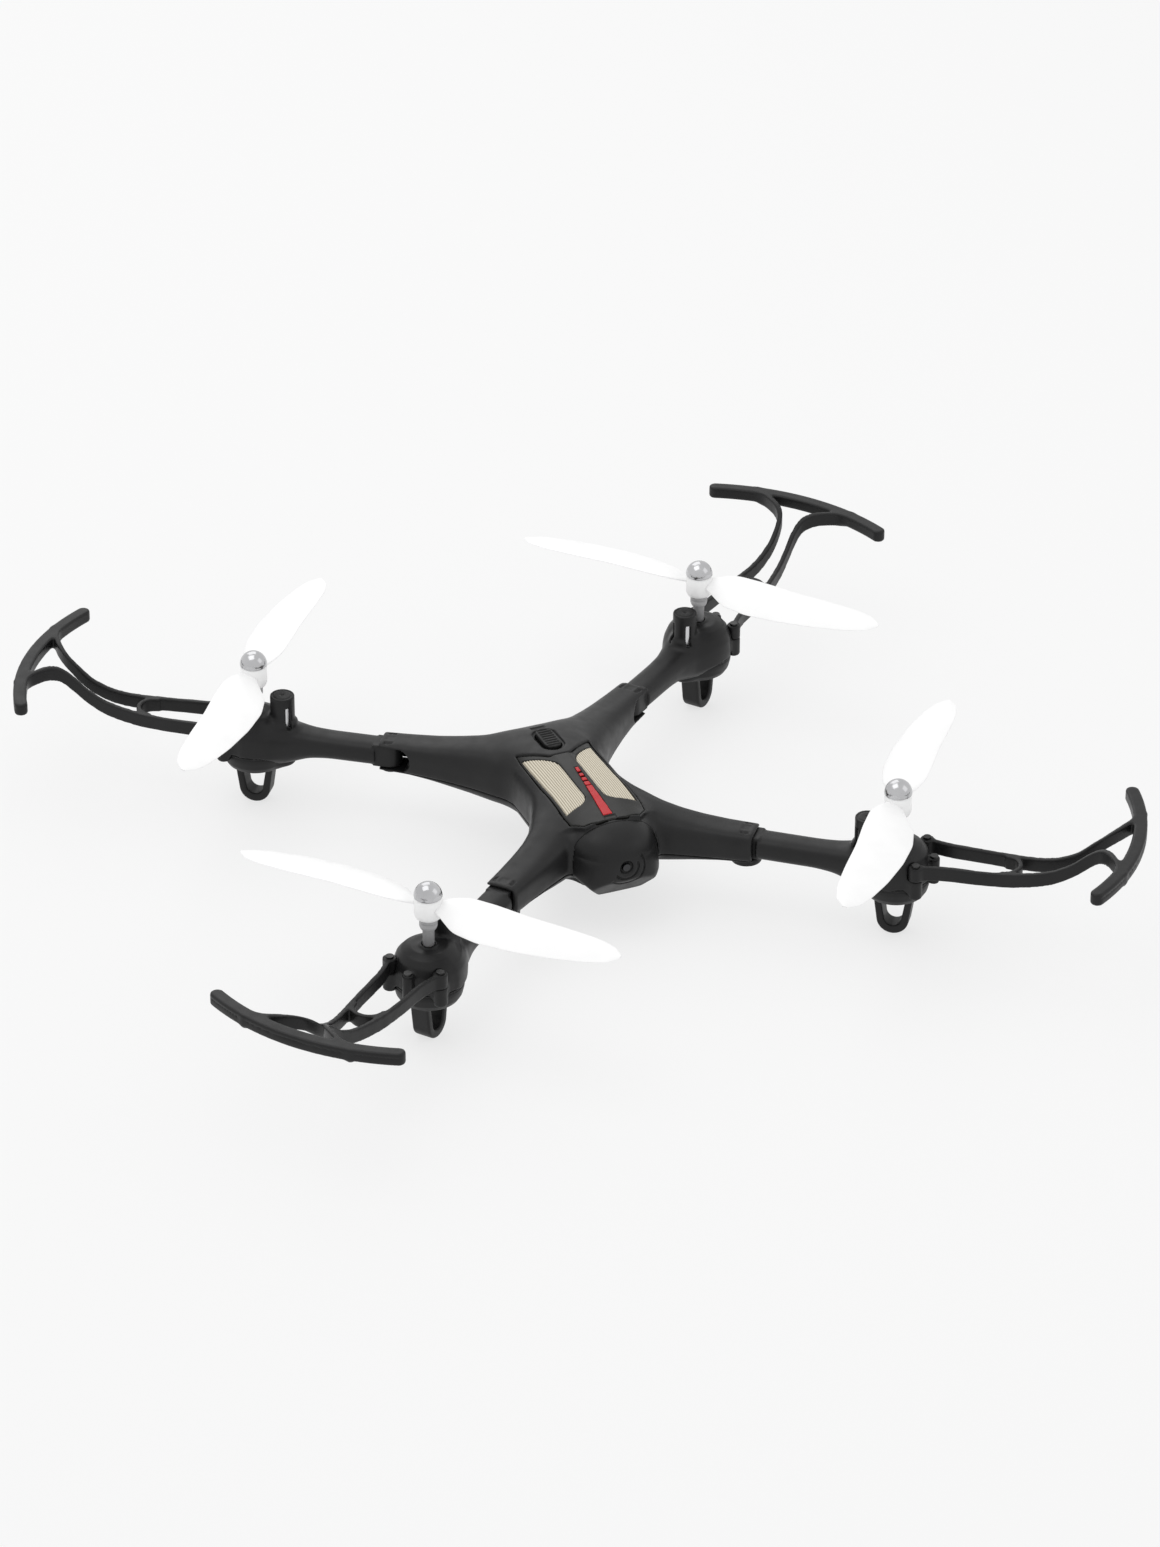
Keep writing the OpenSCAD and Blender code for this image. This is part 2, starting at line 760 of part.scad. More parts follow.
module guard() {
    color([0.16, 0.16, 0.16]) pod_frame() difference() {
        union() {
            for (s = [-1, 1]) {
                guard_rail(s);
                translate([ear_u, s * ear_v, ear_bottom]) cylinder(r = ear_r, h = ear_top - ear_bottom);
            }
            guard_brace();
            guard_bar();
        }
        for (s = [-1, 1]) translate([ear_u, s * ear_v, 20]) cylinder(r = 0.9, h = 20);
    }
}

module guard_rail(side) {
    loft([
        for (i = [0 : len(RAIL_STATIONS) - 1])
            let (
                s = RAIL_STATIONS[i],
                a = RAIL_STATIONS[max(i - 1, 0)],
                b = RAIL_STATIONS[min(i + 1, len(RAIL_STATIONS) - 1)],
                d = [b[0] - a[0], side * (b[1] - a[1])] / norm([b[0] - a[0], b[1] - a[1]]),
                n = [-d[1], d[0]] * rail_t / 2,
                p = [s[0], side * s[1]]
            )
            [concat(p + n, s[2]), concat(p - n, s[2]), concat(p - n, s[2] - rail_h), concat(p + n, s[2] - rail_h)]
    ]);
}

module guard_brace() {
    translate([brace_u, 0, 31.2 - rail_h]) rotate(-90) rotate_extrude(angle = 180)
        translate([brace_r - rail_t, 0]) square([rail_t, rail_h - 0.2]);
}

module guard_bar() {
    translate([0, 0, guard_top - guard_h]) rotate(-guard_half_angle) rotate_extrude(angle = 2 * guard_half_angle)
        translate([guard_r - guard_w, 0]) square([guard_w, guard_h]);
    for (s = [-1, 1]) rotate(s * guard_half_angle) translate([guard_r - guard_w / 2, 0, guard_top - guard_h])
        cylinder(d = guard_w, h = guard_h);
}

module pod_screws() {
    color([0.8, 0.8, 0.82]) pod_frame() {
        for (s = [-1, 1]) screw([ear_u, s * ear_v, ear_top]);
        screw([post_u, 0, post_top]);
    }
}

module screw(top) {
    translate(top) {
        translate([0, 0, tiny_gap]) cylinder(r = 1.35, h = 0.7);
        translate([0, 0, -6]) cylinder(r = 0.68, h = 6.2);
    }
}

upper_shell();
lower_shell();
top_fascia();
mesh_panel_left();
mesh_panel_right();
stripe_inlay();
nose_cover();
camera_lens();
camera_module();
power_button();
power_switch();
circuit_board();
battery();
battery_door();
hinge_pins();
shell_screws();
for (c = CORNERS) {
    at_corner(c) arm_shell(c);
    at_corner(c) pod_cup();
    at_corner(c) motor();
    at_corner(c) pinion();
    at_corner(c) main_gear();
    at_corner(c) rotor_shaft();
    at_corner(c) shaft_bushes();
    at_corner(c) propeller();
    at_corner(c) spinner_cap();
    at_corner(c) guard();
    at_corner(c) pod_screws();
}
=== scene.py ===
"""Looks of the folding toy quadcopter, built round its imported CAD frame.

Lengths in the shape code are millimetres in the CAD frame. Smooth mouldings are distance fields
on a grid, meshed with OpenVDB, and each quarter of the airframe is made once and mirrored.
"""

import json
import math

import bmesh
import bpy
import numpy as np
import openvdb
from mathutils import Matrix, Vector


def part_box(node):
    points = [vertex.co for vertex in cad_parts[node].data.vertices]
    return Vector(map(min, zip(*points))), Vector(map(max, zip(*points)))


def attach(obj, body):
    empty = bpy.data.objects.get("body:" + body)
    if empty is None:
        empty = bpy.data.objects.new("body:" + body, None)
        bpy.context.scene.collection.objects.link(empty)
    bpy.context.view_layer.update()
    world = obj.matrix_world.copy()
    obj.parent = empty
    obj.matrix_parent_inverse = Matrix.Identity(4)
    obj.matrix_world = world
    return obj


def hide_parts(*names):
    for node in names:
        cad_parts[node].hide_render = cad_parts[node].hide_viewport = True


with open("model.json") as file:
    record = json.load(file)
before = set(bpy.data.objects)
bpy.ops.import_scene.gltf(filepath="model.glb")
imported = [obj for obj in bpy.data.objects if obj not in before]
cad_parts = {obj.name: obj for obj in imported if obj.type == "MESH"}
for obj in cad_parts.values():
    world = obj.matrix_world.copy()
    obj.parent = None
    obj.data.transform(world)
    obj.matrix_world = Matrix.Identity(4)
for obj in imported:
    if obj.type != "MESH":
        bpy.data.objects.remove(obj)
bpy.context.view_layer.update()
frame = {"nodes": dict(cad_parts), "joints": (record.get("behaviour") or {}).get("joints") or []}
MM = 0.001
RIB_PITCH = 0.8
CORNERS = ("fl", "fr", "rl", "rr")


# ---------------------------------------------------------------- places taken from the frame
def cad_box(node):
    lo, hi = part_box(node)
    return np.array(lo) / MM, np.array(hi) / MM


def joint_place(name):
    found = next(j for j in frame["joints"] if j["name"] == name)
    return np.array(found["pos_m"]) / MM


def side(corner):
    """Signs that carry the rear right quarter to a corner."""
    return (-1 if corner[1] == "l" else 1), (-1 if corner[0] == "f" else 1)


ROTOR = joint_place("rotor_spin_rr")[:2]
PIVOTS = {"r": joint_place("fold_rr")[:2], "f": joint_place("fold_fr")[:2] * np.array([1, -1])}
MOTOR = joint_place("pinion_spin_rr")[:2]
POD_ANGLE = math.atan2(*(ROTOR - MOTOR)[::-1])
MOTOR_OFFSET = float(np.linalg.norm(ROTOR - MOTOR))
SPLIT_Z = cad_box("upper_shell")[0][2]
PROP_R = float(np.linalg.norm(cad_box("propeller_rr")[1][:2] - cad_box("propeller_rr")[0][:2]) / 2)


# ---------------------------------------------------------------- distance field tools
def grid_axes(lo, hi, step):
    """Sparse x, y and z arrays of a grid between two corners."""
    axes = [np.arange(a, b + step, step, dtype=np.float32) for a, b in zip(lo, hi)]
    return np.meshgrid(*axes, indexing="ij", sparse=True)


def smin(a, b, k):
    """The smaller of two distances, blended over a width k."""
    h = np.clip(0.5 + 0.5 * (b - a) / k, 0, 1)
    return b * (1 - h) + a * h - k * h * (1 - h)


def smax(a, b, k):
    return -smin(-a, -b, k)


def box2(x, y, cx, cy, hx, hy, r=0.0):
    """Distance to a rectangle with rounded corners."""
    dx = np.abs(x - cx) - hx + r
    dy = np.abs(y - cy) - hy + r
    return np.hypot(np.maximum(dx, 0), np.maximum(dy, 0)) + np.minimum(np.maximum(dx, dy), 0) - r


def slab(d, z, z0, z1, r=0.0):
    """A plan distance d given height from z0 to z1, its edges rounded by r."""
    dz = np.abs(z - (z0 + z1) / 2) - (z1 - z0) / 2 + r
    d = d + r
    return np.hypot(np.maximum(d, 0), np.maximum(dz, 0)) + np.minimum(np.maximum(d, dz), 0) - r


def disc(x, y, cx, cy, r):
    return np.hypot(x - cx, y - cy) - r


def polygon_distance(x, y, points):
    """Signed distance to a closed polygon."""
    p = np.asarray(points, np.float32)
    best = None
    inside = None
    for (ax, ay), (bx, by) in zip(p, np.roll(p, -1, axis=0)):
        ex, ey = bx - ax, by - ay
        wx, wy = x - ax, y - ay
        t = np.clip((wx * ex + wy * ey) / (ex * ex + ey * ey), 0, 1)
        d = (wx - ex * t) ** 2 + (wy - ey * t) ** 2
        best = d if best is None else np.minimum(best, d)
        sign = np.sign(by - ay)
        crosses = ((ay > y) != (by > y)) & (wx * (by - ay) * sign < (y - ay) * ex * sign)
        inside = crosses if inside is None else inside ^ crosses
    return np.where(inside, -1.0, 1.0).astype(np.float32) * np.sqrt(best)


def line_distance(x, y, points):
    """Distance to an open line through points."""
    best = None
    for (ax, ay), (bx, by) in zip(points[:-1], points[1:]):
        ex, ey = bx - ax, by - ay
        t = np.clip(((x - ax) * ex + (y - ay) * ey) / (ex * ex + ey * ey), 0, 1)
        d = np.hypot(x - ax - ex * t, y - ay - ey * t)
        best = d if best is None else np.minimum(best, d)
    return best


def smooth_curve(stations, column, softness=1.6):
    """A smooth function through one column of a table of stations."""
    table = np.asarray(stations, float)
    fine = np.arange(table[0, 0] - 12, table[-1, 0] + 12, 0.1)
    raw = np.interp(fine, table[:, 0], table[:, column])
    kernel = np.exp(-0.5 * (np.arange(-60, 61) * 0.1 / softness) ** 2)
    padded = np.pad(raw, 60, mode="edge")
    curve = np.convolve(padded, kernel / kernel.sum(), mode="valid")
    return lambda s: np.interp(s, fine, curve).astype(np.float32)


def superellipse(x, z, a, b, n):
    """First-order distance to |x/a|^n + |z/b|^n = 1."""
    ax, az = np.abs(x / a) + 1e-4, np.abs(z / b) + 1e-4
    q = (ax**n + az**n) ** (1 / n)
    gx = (ax / q) ** (n - 1) / a
    gz = (az / q) ** (n - 1) / b
    return (q - 1) / np.hypot(gx, gz)


def mesh_from_field(name, field, lo, step):
    """Surface of a distance field, as a mesh in metres."""
    limit = 4 * step
    grid = openvdb.FloatGrid(limit)
    grid.copyFromArray(np.ascontiguousarray(np.clip(field, -limit, limit), dtype=np.float32))
    points, quads = grid.convertToQuads(0.0)
    points = (points * step + np.asarray(lo)) * MM
    mesh = bpy.data.meshes.new(name)
    mesh.vertices.add(len(points))
    mesh.vertices.foreach_set("co", points.astype(np.float32).ravel())
    mesh.loops.add(quads.size)
    mesh.loops.foreach_set("vertex_index", quads[:, ::-1].astype(np.int32).ravel())
    mesh.polygons.add(len(quads))
    mesh.polygons.foreach_set("loop_start", np.arange(0, quads.size, 4, dtype=np.int32))
    mesh.update(calc_edges=True)
    mesh.validate()
    mesh.shade_smooth()
    return mesh


def transformed(mesh, matrix, name):
    copy = mesh.copy()
    copy.name = name
    copy.transform(matrix)
    if matrix.determinant() < 0:
        copy.flip_normals()
    return copy


def show(name, mesh, body, material, nodes=()):
    """Puts a mesh in the scene, riding on a CAD body and standing for CAD nodes."""
    obj = bpy.data.objects.new(name, mesh)
    bpy.context.scene.collection.objects.link(obj)
    mesh.materials.clear()
    mesh.materials.append(material)
    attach(obj, body)
    if nodes:
        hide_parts(*nodes)
    return obj


def mirror_matrix(corner):
    sx, sy = side(corner)
    return Matrix.Diagonal((sx, sy, 1, 1))


def at_angle(place, angle):
    """Matrix from a local frame at a plan place to the CAD frame, in metres."""
    return Matrix.Translation((place[0] * MM, place[1] * MM, 0)) @ Matrix.Rotation(angle, 4, "Z")


# ---------------------------------------------------------------- materials
def principled(name, colour, roughness, **sockets):
    material = bpy.data.materials.new(name)
    material.use_nodes = True
    shader = material.node_tree.nodes["Principled BSDF"]
    shader.inputs["Base Color"].default_value = (*colour, 1)
    shader.inputs["Roughness"].default_value = roughness
    for key, value in sockets.items():
        shader.inputs[key.replace("_", " ")].default_value = value
    return material, material.node_tree, shader


def node(tree, kind, **values):
    made = tree.nodes.new(kind)
    for key, value in values.items():
        if key in made.inputs:
            made.inputs[key].default_value = value
        else:
            setattr(made, key, value)
    return made


def noise(tree, scale, detail=3.0, rough=0.5):
    where = node(tree, "ShaderNodeTexCoord")
    made = node(tree, "ShaderNodeTexNoise", Scale=scale, Detail=detail, Roughness=rough)
    tree.links.new(where.outputs["Object"], made.inputs["Vector"])
    return made.outputs["Fac"]


def ramp(tree, value, low, high, start=0.3, end=0.7):
    made = node(tree, "ShaderNodeMapRange", clamp=True)
    made.inputs["From Min"].default_value = start
    made.inputs["From Max"].default_value = end
    made.inputs["To Min"].default_value = low
    made.inputs["To Max"].default_value = high
    tree.links.new(value, made.inputs["Value"])
    return made.outputs["Result"]


def tint(tree, value, dark, light):
    made = node(tree, "ShaderNodeMix", data_type="RGBA")
    made.inputs["A"].default_value = (*dark, 1)
    made.inputs["B"].default_value = (*light, 1)
    tree.links.new(value, made.inputs["Factor"])
    return made.outputs["Result"]


def bump(tree, shader, height, strength, distance):
    made = node(tree, "ShaderNodeBump", Strength=strength, Distance=distance)
    tree.links.new(height, made.inputs["Height"])
    tree.links.new(made.outputs["Normal"], shader.inputs["Normal"])
    return made


def moulded(name, dark, light, rough_low, rough_high, grain=0.25, grain_size=2600, **sockets):
    """Moulded plastic: fine spark-eroded grain, cloudy gloss and faint colour drift."""
    material, tree, shader = principled(name, dark, rough_low, **sockets)
    tree.links.new(tint(tree, ramp(tree, noise(tree, 90), 0, 1), dark, light), shader.inputs["Base Color"])
    tree.links.new(ramp(tree, noise(tree, 260, 5), rough_low, rough_high), shader.inputs["Roughness"])
    bump(tree, shader, noise(tree, grain_size, 2), grain, 0.00004)
    return material


BLACK = moulded(
    "black_shell", (0.0075, 0.0075, 0.0078), (0.0105, 0.0105, 0.0108), 0.36, 0.46, Specular_IOR_Level=0.27
)
BLACK_LOWER = moulded(
    "black_lower", (0.0065, 0.0065, 0.0068), (0.0095, 0.0095, 0.0098), 0.4, 0.5, Specular_IOR_Level=0.26
)
GLOSS = moulded(
    "black_gloss", (0.006, 0.006, 0.0055), (0.0085, 0.0085, 0.0075), 0.26, 0.34, 0.08, Specular_IOR_Level=0.25
)
BUTTON = moulded(
    "button_black", (0.006, 0.006, 0.006), (0.009, 0.009, 0.009), 0.4, 0.55, Specular_IOR_Level=0.3
)
RED = moulded(
    "stripe_red", (0.40, 0.006, 0.012), (0.46, 0.010, 0.016), 0.3, 0.4, 0.06, Specular_IOR_Level=0.3
)
WHITE = moulded("prop_white", (0.86, 0.86, 0.86), (0.90, 0.90, 0.90), 0.32, 0.42, grain=0.05)
GREY = moulded("shaft_grey", (0.33, 0.33, 0.335), (0.38, 0.38, 0.385), 0.38, 0.48)
SILVER = moulded("cap_silver", (0.47, 0.47, 0.48), (0.55, 0.55, 0.56), 0.14, 0.2, grain=0.03, Metallic=1.0)
STEEL = moulded("steel", (0.60, 0.60, 0.61), (0.68, 0.68, 0.69), 0.24, 0.36, grain=0.05, Metallic=1.0)
DARK_STEEL = moulded(
    "dark_steel", (0.05, 0.05, 0.05), (0.07, 0.07, 0.07), 0.25, 0.4, grain=0.05, Metallic=1.0
)
BRASS = moulded("brass", (0.62, 0.43, 0.16), (0.70, 0.50, 0.20), 0.28, 0.38, grain=0.05, Metallic=1.0)
GEAR = moulded("gear_white", (0.76, 0.75, 0.71), (0.82, 0.81, 0.77), 0.4, 0.5, grain=0.1)
GREEN = moulded("board_green", (0.02, 0.13, 0.06), (0.03, 0.17, 0.08), 0.3, 0.45, grain=0.1)
WRAP = moulded("battery_wrap", (0.08, 0.12, 0.30), (0.10, 0.15, 0.36), 0.3, 0.45, grain=0.1)
LENS = moulded("lens_black", (0.006, 0.006, 0.008), (0.009, 0.009, 0.012), 0.06, 0.12, grain=0.0)


def cloth_with_painted_shade():
    """Speaker cloth with painted shade: colour darkened in the furrows between the mesh's lengthwise ridges
    and fine cross ribs and lighter on their tops, with the same ribs in the bump.
    """
    material, tree, shader = principled("panel_cloth", (0.56, 0.51, 0.41), 0.7)
    where = node(tree, "ShaderNodeTexCoord")
    parts = node(tree, "ShaderNodeSeparateXYZ")
    tree.links.new(where.outputs["Object"], parts.inputs["Vector"])
    across = node(tree, "ShaderNodeMath", operation="ABSOLUTE")
    tree.links.new(parts.outputs["X"], across.inputs[0])
    bands = []
    for value, pitch, start in ((across.outputs[0], RIB_PITCH, 3.3), (parts.outputs["Y"], 0.62, 0.0)):
        turn = node(tree, "ShaderNodeMath", operation="MULTIPLY_ADD")
        tree.links.new(value, turn.inputs[0])
        turn.inputs[1].default_value = 2 * math.pi / (pitch * MM)
        turn.inputs[2].default_value = -2 * math.pi * start / pitch
        wave = node(tree, "ShaderNodeMath", operation="COSINE")
        tree.links.new(turn.outputs[0], wave.inputs[0])
        bands.append(wave.outputs[0])
    both = node(tree, "ShaderNodeMath", operation="MULTIPLY_ADD")
    tree.links.new(bands[1], both.inputs[0])
    both.inputs[1].default_value = 0.35
    tree.links.new(bands[0], both.inputs[2])
    # Painted shade: the colour goes dark in the furrows and light on the rib tops, following the ribs of the
    # panel's surface.
    shade = ramp(tree, both.outputs[0], 0, 1, -1.1, 0.5)
    tree.links.new(tint(tree, shade, (0.27, 0.235, 0.17), (0.66, 0.61, 0.50)), shader.inputs["Base Color"])
    bump(tree, shader, both.outputs[0], 0.25, 0.00006)
    return material


CLOTH = cloth_with_painted_shade()

# ---------------------------------------------------------------- body shells
# Trunk along y: y, half width, top and bottom
BODY_STATIONS = [
    (-38, 16.9, 37.5, 13.0),
    (-28, 17.6, 38.0, 13.0),
    (-20, 17.4, 38.3, 13.0),
    (0, 16.9, 38.7, 13.2),
    (16, 16.7, 38.7, 13.4),
    (26, 17.6, 37.9, 13.6),
    (32, 18.4, 36.9, 14.4),
    (36, 18.8, 34.6, 16.4),
    (39, 17.4, 31.0, 19.6),
]
# Body arms inwards from the hinge: distance, outer and waist half widths, top and bottom
SLEEVE_REAR = [
    (-3.3, 6.3, 6.1, 30.6, 19.7),
    (8, 6.7, 6.5, 31.0, 19.3),
    (16, 7.0, 7.5, 31.7, 18.3),
    (24, 7.3, 9.0, 33.0, 16.9),
    (32, 8.0, 11.0, 34.6, 15.5),
    (40, 9.0, 13.8, 36.0, 14.6),
    (48, 10, 16, 37.0, 14.0),
]
SLEEVE_FRONT = [
    (-3.3, 6.5, 6.1, 30.6, 19.5),
    (8, 7.2, 6.1, 30.8, 18.9),
    (16, 8.0, 6.2, 31.5, 17.8),
    (24, 9.2, 6.6, 32.7, 16.4),
    (32, 10.4, 8.2, 34.4, 15.0),
    (40, 11.4, 11.8, 36.0, 14.3),
    (48, 11.4, 14.5, 37.0, 14.0),
]
SLEEVES = {"r": SLEEVE_REAR, "f": SLEEVE_FRONT}
SLEEVE_END = 3.3
BOSS = {"f": (5.35, 18.2), "r": (3.7, 18.9)}
ARM_Z = 25.1
SLOT_H = 8.6
BODY_END = 38.8


def arm_angle(which):
    delta = ROTOR - PIVOTS[which]
    return math.atan2(delta[1], delta[0])


def arm_coords(x, y, which, mirrored_x):
    """Coordinates in a folding arm's frame, seen in the mirrored quarter."""
    px, py = PIVOTS[which]
    lx = (-x if mirrored_x else x) - px
    ly = (-y if which == "f" else y) - py
    a = arm_angle(which)
    return lx * math.cos(a) + ly * math.sin(a), -lx * math.sin(a) + ly * math.cos(a)


def body_arms(x, y):
    """Each of the four body arms with its own coordinates, s outwards and t away from the waist."""
    for which in ("r", "f"):
        for mirrored in (False, True):
            yield (which, *arm_coords(x, y, which, mirrored))


def sleeve_distance(s, t, z, stations):
    """Body arm round its own axis; s runs outwards and t away from the waist."""
    outer, waist, top, low = [smooth_curve(stations, k) for k in (1, 2, 3, 4)]
    inward = -s
    width = np.where(t > 0, outer(inward), waist(inward))
    mid = (top(inward) + low(inward)) / 2
    square = 2.8 + 0.9 * np.clip((s + 30) / 20, 0, 1)
    d = superellipse(t, z - mid, width, (top(inward) - low(inward)) / 2, square)
    return smax(smax(d, s - SLEEVE_END, 0.8), -s - 50, 2)


NOSE_SEAM = -37.8


def nose_outside(x, y, z):
    """Rounded head of the body, squarer below, with a bevelled chin and cheeks."""
    p = 2.4 + 1.8 * np.clip((28 - z) / 8, 0, 1)
    half = 16.8 - 0.16 * np.clip(-y - 34, 0, 20)
    q = (np.abs(x / half) ** p + np.abs((y + 30) / 19.6) ** p + np.abs((z - 24.8) / 12.6) ** p) ** (1 / p)
    head = (q - 1) * 15.0
    chin = 0.777 * -(y + 43.2) - 0.63 * (z - 12.8)
    cheek = 0.72 * (np.abs(x) - 7.6) - 0.694 * (z - 12.8) - 0.1 * (y + 43)
    return smax(smax(head, chin, 0.5), cheek, 0.5)


def hood_line(x):
    """Where the trunk's top ends in a step over the nose."""
    across = [0, 3.2, 10, 13, 17, 30]
    front = [-36.5, -36.8, -37.6, -34.2, -31, -29]
    return np.interp(np.abs(x), across, front).astype(np.float32)


def body_distance(x, y, z):
    """Outside of the whole body, both shells and nose together."""
    half, top, low = [smooth_curve(BODY_STATIONS, k, 1.8) for k in (1, 2, 3)]
    trunk = superellipse(x, z - (top(y) + low(y)) / 2, half(y), (top(y) - low(y)) / 2, 3.2)
    trunk = smax(trunk, y - BODY_END, 1.5)
    trunk = smax(trunk, hood_line(x) - y, 0.3)
    d = smin(trunk, nose_outside(x, y, z), 0.5)
    for which, s, t in body_arms(x, y):
        d = smin(d, sleeve_distance(s, t, z, SLEEVES[which]), 3.0)
    return d


def hinge_room(x, y, z):
    """Slots at the ends of the body arms that the folding arms swing through."""
    room = None
    for _, s, t in body_arms(x, y):
        reach = smax(smax(-s - 8.3, t - 4.7, 0.1), -t - 30, 0.1)
        end = np.hypot(np.minimum(s + 4.0, 0), z - ARM_Z) - SLOT_H / 2
        slot = smax(smax(reach, np.abs(z - ARM_Z) - SLOT_H / 2, 0.1), end, 0.1)
        pin = smax(np.hypot(s, t) - 1.52, np.abs(z - 24) - 6, 0.05)
        slot = np.minimum(slot, pin)
        room = slot if room is None else np.minimum(room, slot)
    return room


def body_cavity(x, y, z):
    """The hollow of the trunk and of its arms."""
    d = slab(box2(x, y, 0, -1, 12.4, 33), z, 17, 33.4)
    d = np.minimum(d, slab(box2(x, y, 0, -1, 9.5, 32), z, 15, 35.6))
    for _, s, t in body_arms(x, y):
        d = np.minimum(d, slab(box2(s, t, -29, 0, 15, 4.7), z, 20, 29.4))
    return d


def fascia_front(x):
    """Front end of the glossy panel, with a rim of the shell ahead of its corners."""
    return hood_line(x) + np.clip((np.abs(x) - 5) / 3, 0, 1)


def fascia_drop(x, y):
    """How far the glossy panel lies under the body's surface at its rear corners."""
    return 0.6 * np.clip((y + 6) / 12, 0, 1) * np.clip((np.abs(x) - 2.4) / 2, 0, 1)


def fascia_plan(x, y, grow=0.0):
    """Outline of the glossy panel, the same on both sides."""
    rear = [(0, 8.0), (3.6, 8.0), (13.4, 15.6)]
    points = rear + [(13.9, -28), (13.2, -34.2), (10, -37.6), (3.2, -36.8), (0, -36.5)]
    outline = points + [(-px, py) for px, py in points[::-1] if px > 0]
    return polygon_distance(np.abs(x), y, outline) - grow


def panel_plan(x, y, grow=0.0):
    """Right-hand panel: straight and sharp outside, round inside, slanted at both ends."""
    points = [(12.1, 12.8), (12.1, -27.6), (3.3, -23.6), (3.3, 4.9)]
    corner = polygon_distance(x, y, points)
    inner = smax(smax(3.3 - x, -23.6 + 0.42 * (3.3 - x) - y, 4.0), y - 4.9 - 0.72 * (x - 3.3), 4.0)
    return np.maximum(corner - 0.6, inner) - grow


def stripe_plan(x, y, grow=0.0):
    """Red stripe: wide at the nose and narrow at the tail."""
    centre = -0.25 + (y + 33.5) * 0.052
    width = np.interp(y, [-33.5, -2.0], [1.7, 0.55]).astype(np.float32)
    return np.maximum(np.abs(x - centre) - width, np.abs(y + 18.0) - 15.6) - grow


# Middle, length and width of the power button
BUTTON_Y, BUTTON_L, BUTTON_W = 19.0, 13.0, 6.0
# Arc grooves over the fold pivots: radius, half width, half length and depth
MARK_R, MARK_W, MARK_L, MARK_DEPTH = 3.4, 0.5, 1.4, 0.5


def button_plan(x, y, grow=0.0):
    return box2(x, y, 0, BUTTON_Y, BUTTON_W / 2 + grow, BUTTON_L / 2 + grow, BUTTON_W / 2 + grow)


def pivot_marks(x, y, z, surface):
    """Two short arc grooves and a faint square dent over each fold pivot."""
    marks = None
    for _, s, t in body_arms(x, y):
        arc = np.maximum(np.abs(np.hypot(s, t) - MARK_R) - MARK_W, np.abs(s) - MARK_L)
        arc = np.maximum(arc, -surface - MARK_DEPTH)
        dent = np.maximum(box2(s, t, 0, 0, 1.5, 1.5, 0.4), -surface - 0.18)
        both = np.minimum(arc, dent)
        marks = both if marks is None else np.minimum(marks, both)
    return np.maximum(marks, 28 - z)


BODY_STEP = 0.4
BODY_LO, BODY_HI = (-54, -60, 10), (54, 64, 42)


def build_body():
    x, y, z = grid_axes(BODY_LO, BODY_HI, BODY_STEP)
    skin = body_distance(x, y, z)
    room = hinge_room(x, y, z)
    cavity = body_cavity(x, y, z)
    hollow = np.maximum(skin, -np.minimum(room, cavity))
    nose_cut = np.maximum(y - NOSE_SEAM, nose_outside(x, y, z)) - 0.08
    boss = None
    for which, s, t in body_arms(x, y):
        wide, low = BOSS[which]
        one = slab(np.hypot(s, t) - wide, z, low, SPLIT_Z, 0.5)
        one = np.maximum(one, -slab(np.hypot(s, t) - 2.7, z, low - 1, low + 0.8))
        boss = one if boss is None else np.minimum(boss, one)

    upper = np.maximum(hollow, SPLIT_Z - z)
    fascia_pocket = np.maximum(np.maximum(fascia_plan(x, y, 0.15), -(skin + 1.1)), 30 - z)
    fascia_pocket = np.maximum(fascia_pocket, fascia_front(x) - y)
    upper = smax(upper, -fascia_pocket, 0.4)
    beds = np.minimum(panel_plan(x, y, 0.15), panel_plan(-x, y, 0.15))
    upper = smax(upper, -np.maximum(beds, -(skin + 1.35)), 0.3)
    upper = np.maximum(upper, -nose_cut)
    well = np.maximum(button_plan(x, y, 1.3), -(skin + 0.7))
    lip = np.maximum(box2(x, y, 0, BUTTON_Y + 9.6, 2.6, 1.2, 0.6), -(skin + 0.5))
    upper = np.maximum(upper, -np.minimum(np.minimum(well, button_plan(x, y, 0.3)), lip))
    upper = np.maximum(upper, -pivot_marks(x, y, z, skin))
    mesh = mesh_from_field("upper_shell_skin", upper, BODY_LO, BODY_STEP)
    show("upper_shell_skin", mesh, "body", BLACK, ("upper_shell",))

    lower = np.minimum(np.maximum(hollow, z - SPLIT_Z + 0.15), np.maximum(boss, z - SPLIT_Z + 0.15))
    lower = np.maximum(lower, -nose_cut)
    door = slab(box2(x, y, 0, -8, 11.15, 19.15, 0.5), z, 0, 17)
    lower = np.maximum(lower, -door)
    mesh = mesh_from_field("lower_shell_skin", lower, BODY_LO, BODY_STEP)
    show("lower_shell_skin", mesh, "body", BLACK_LOWER, ("lower_shell",))


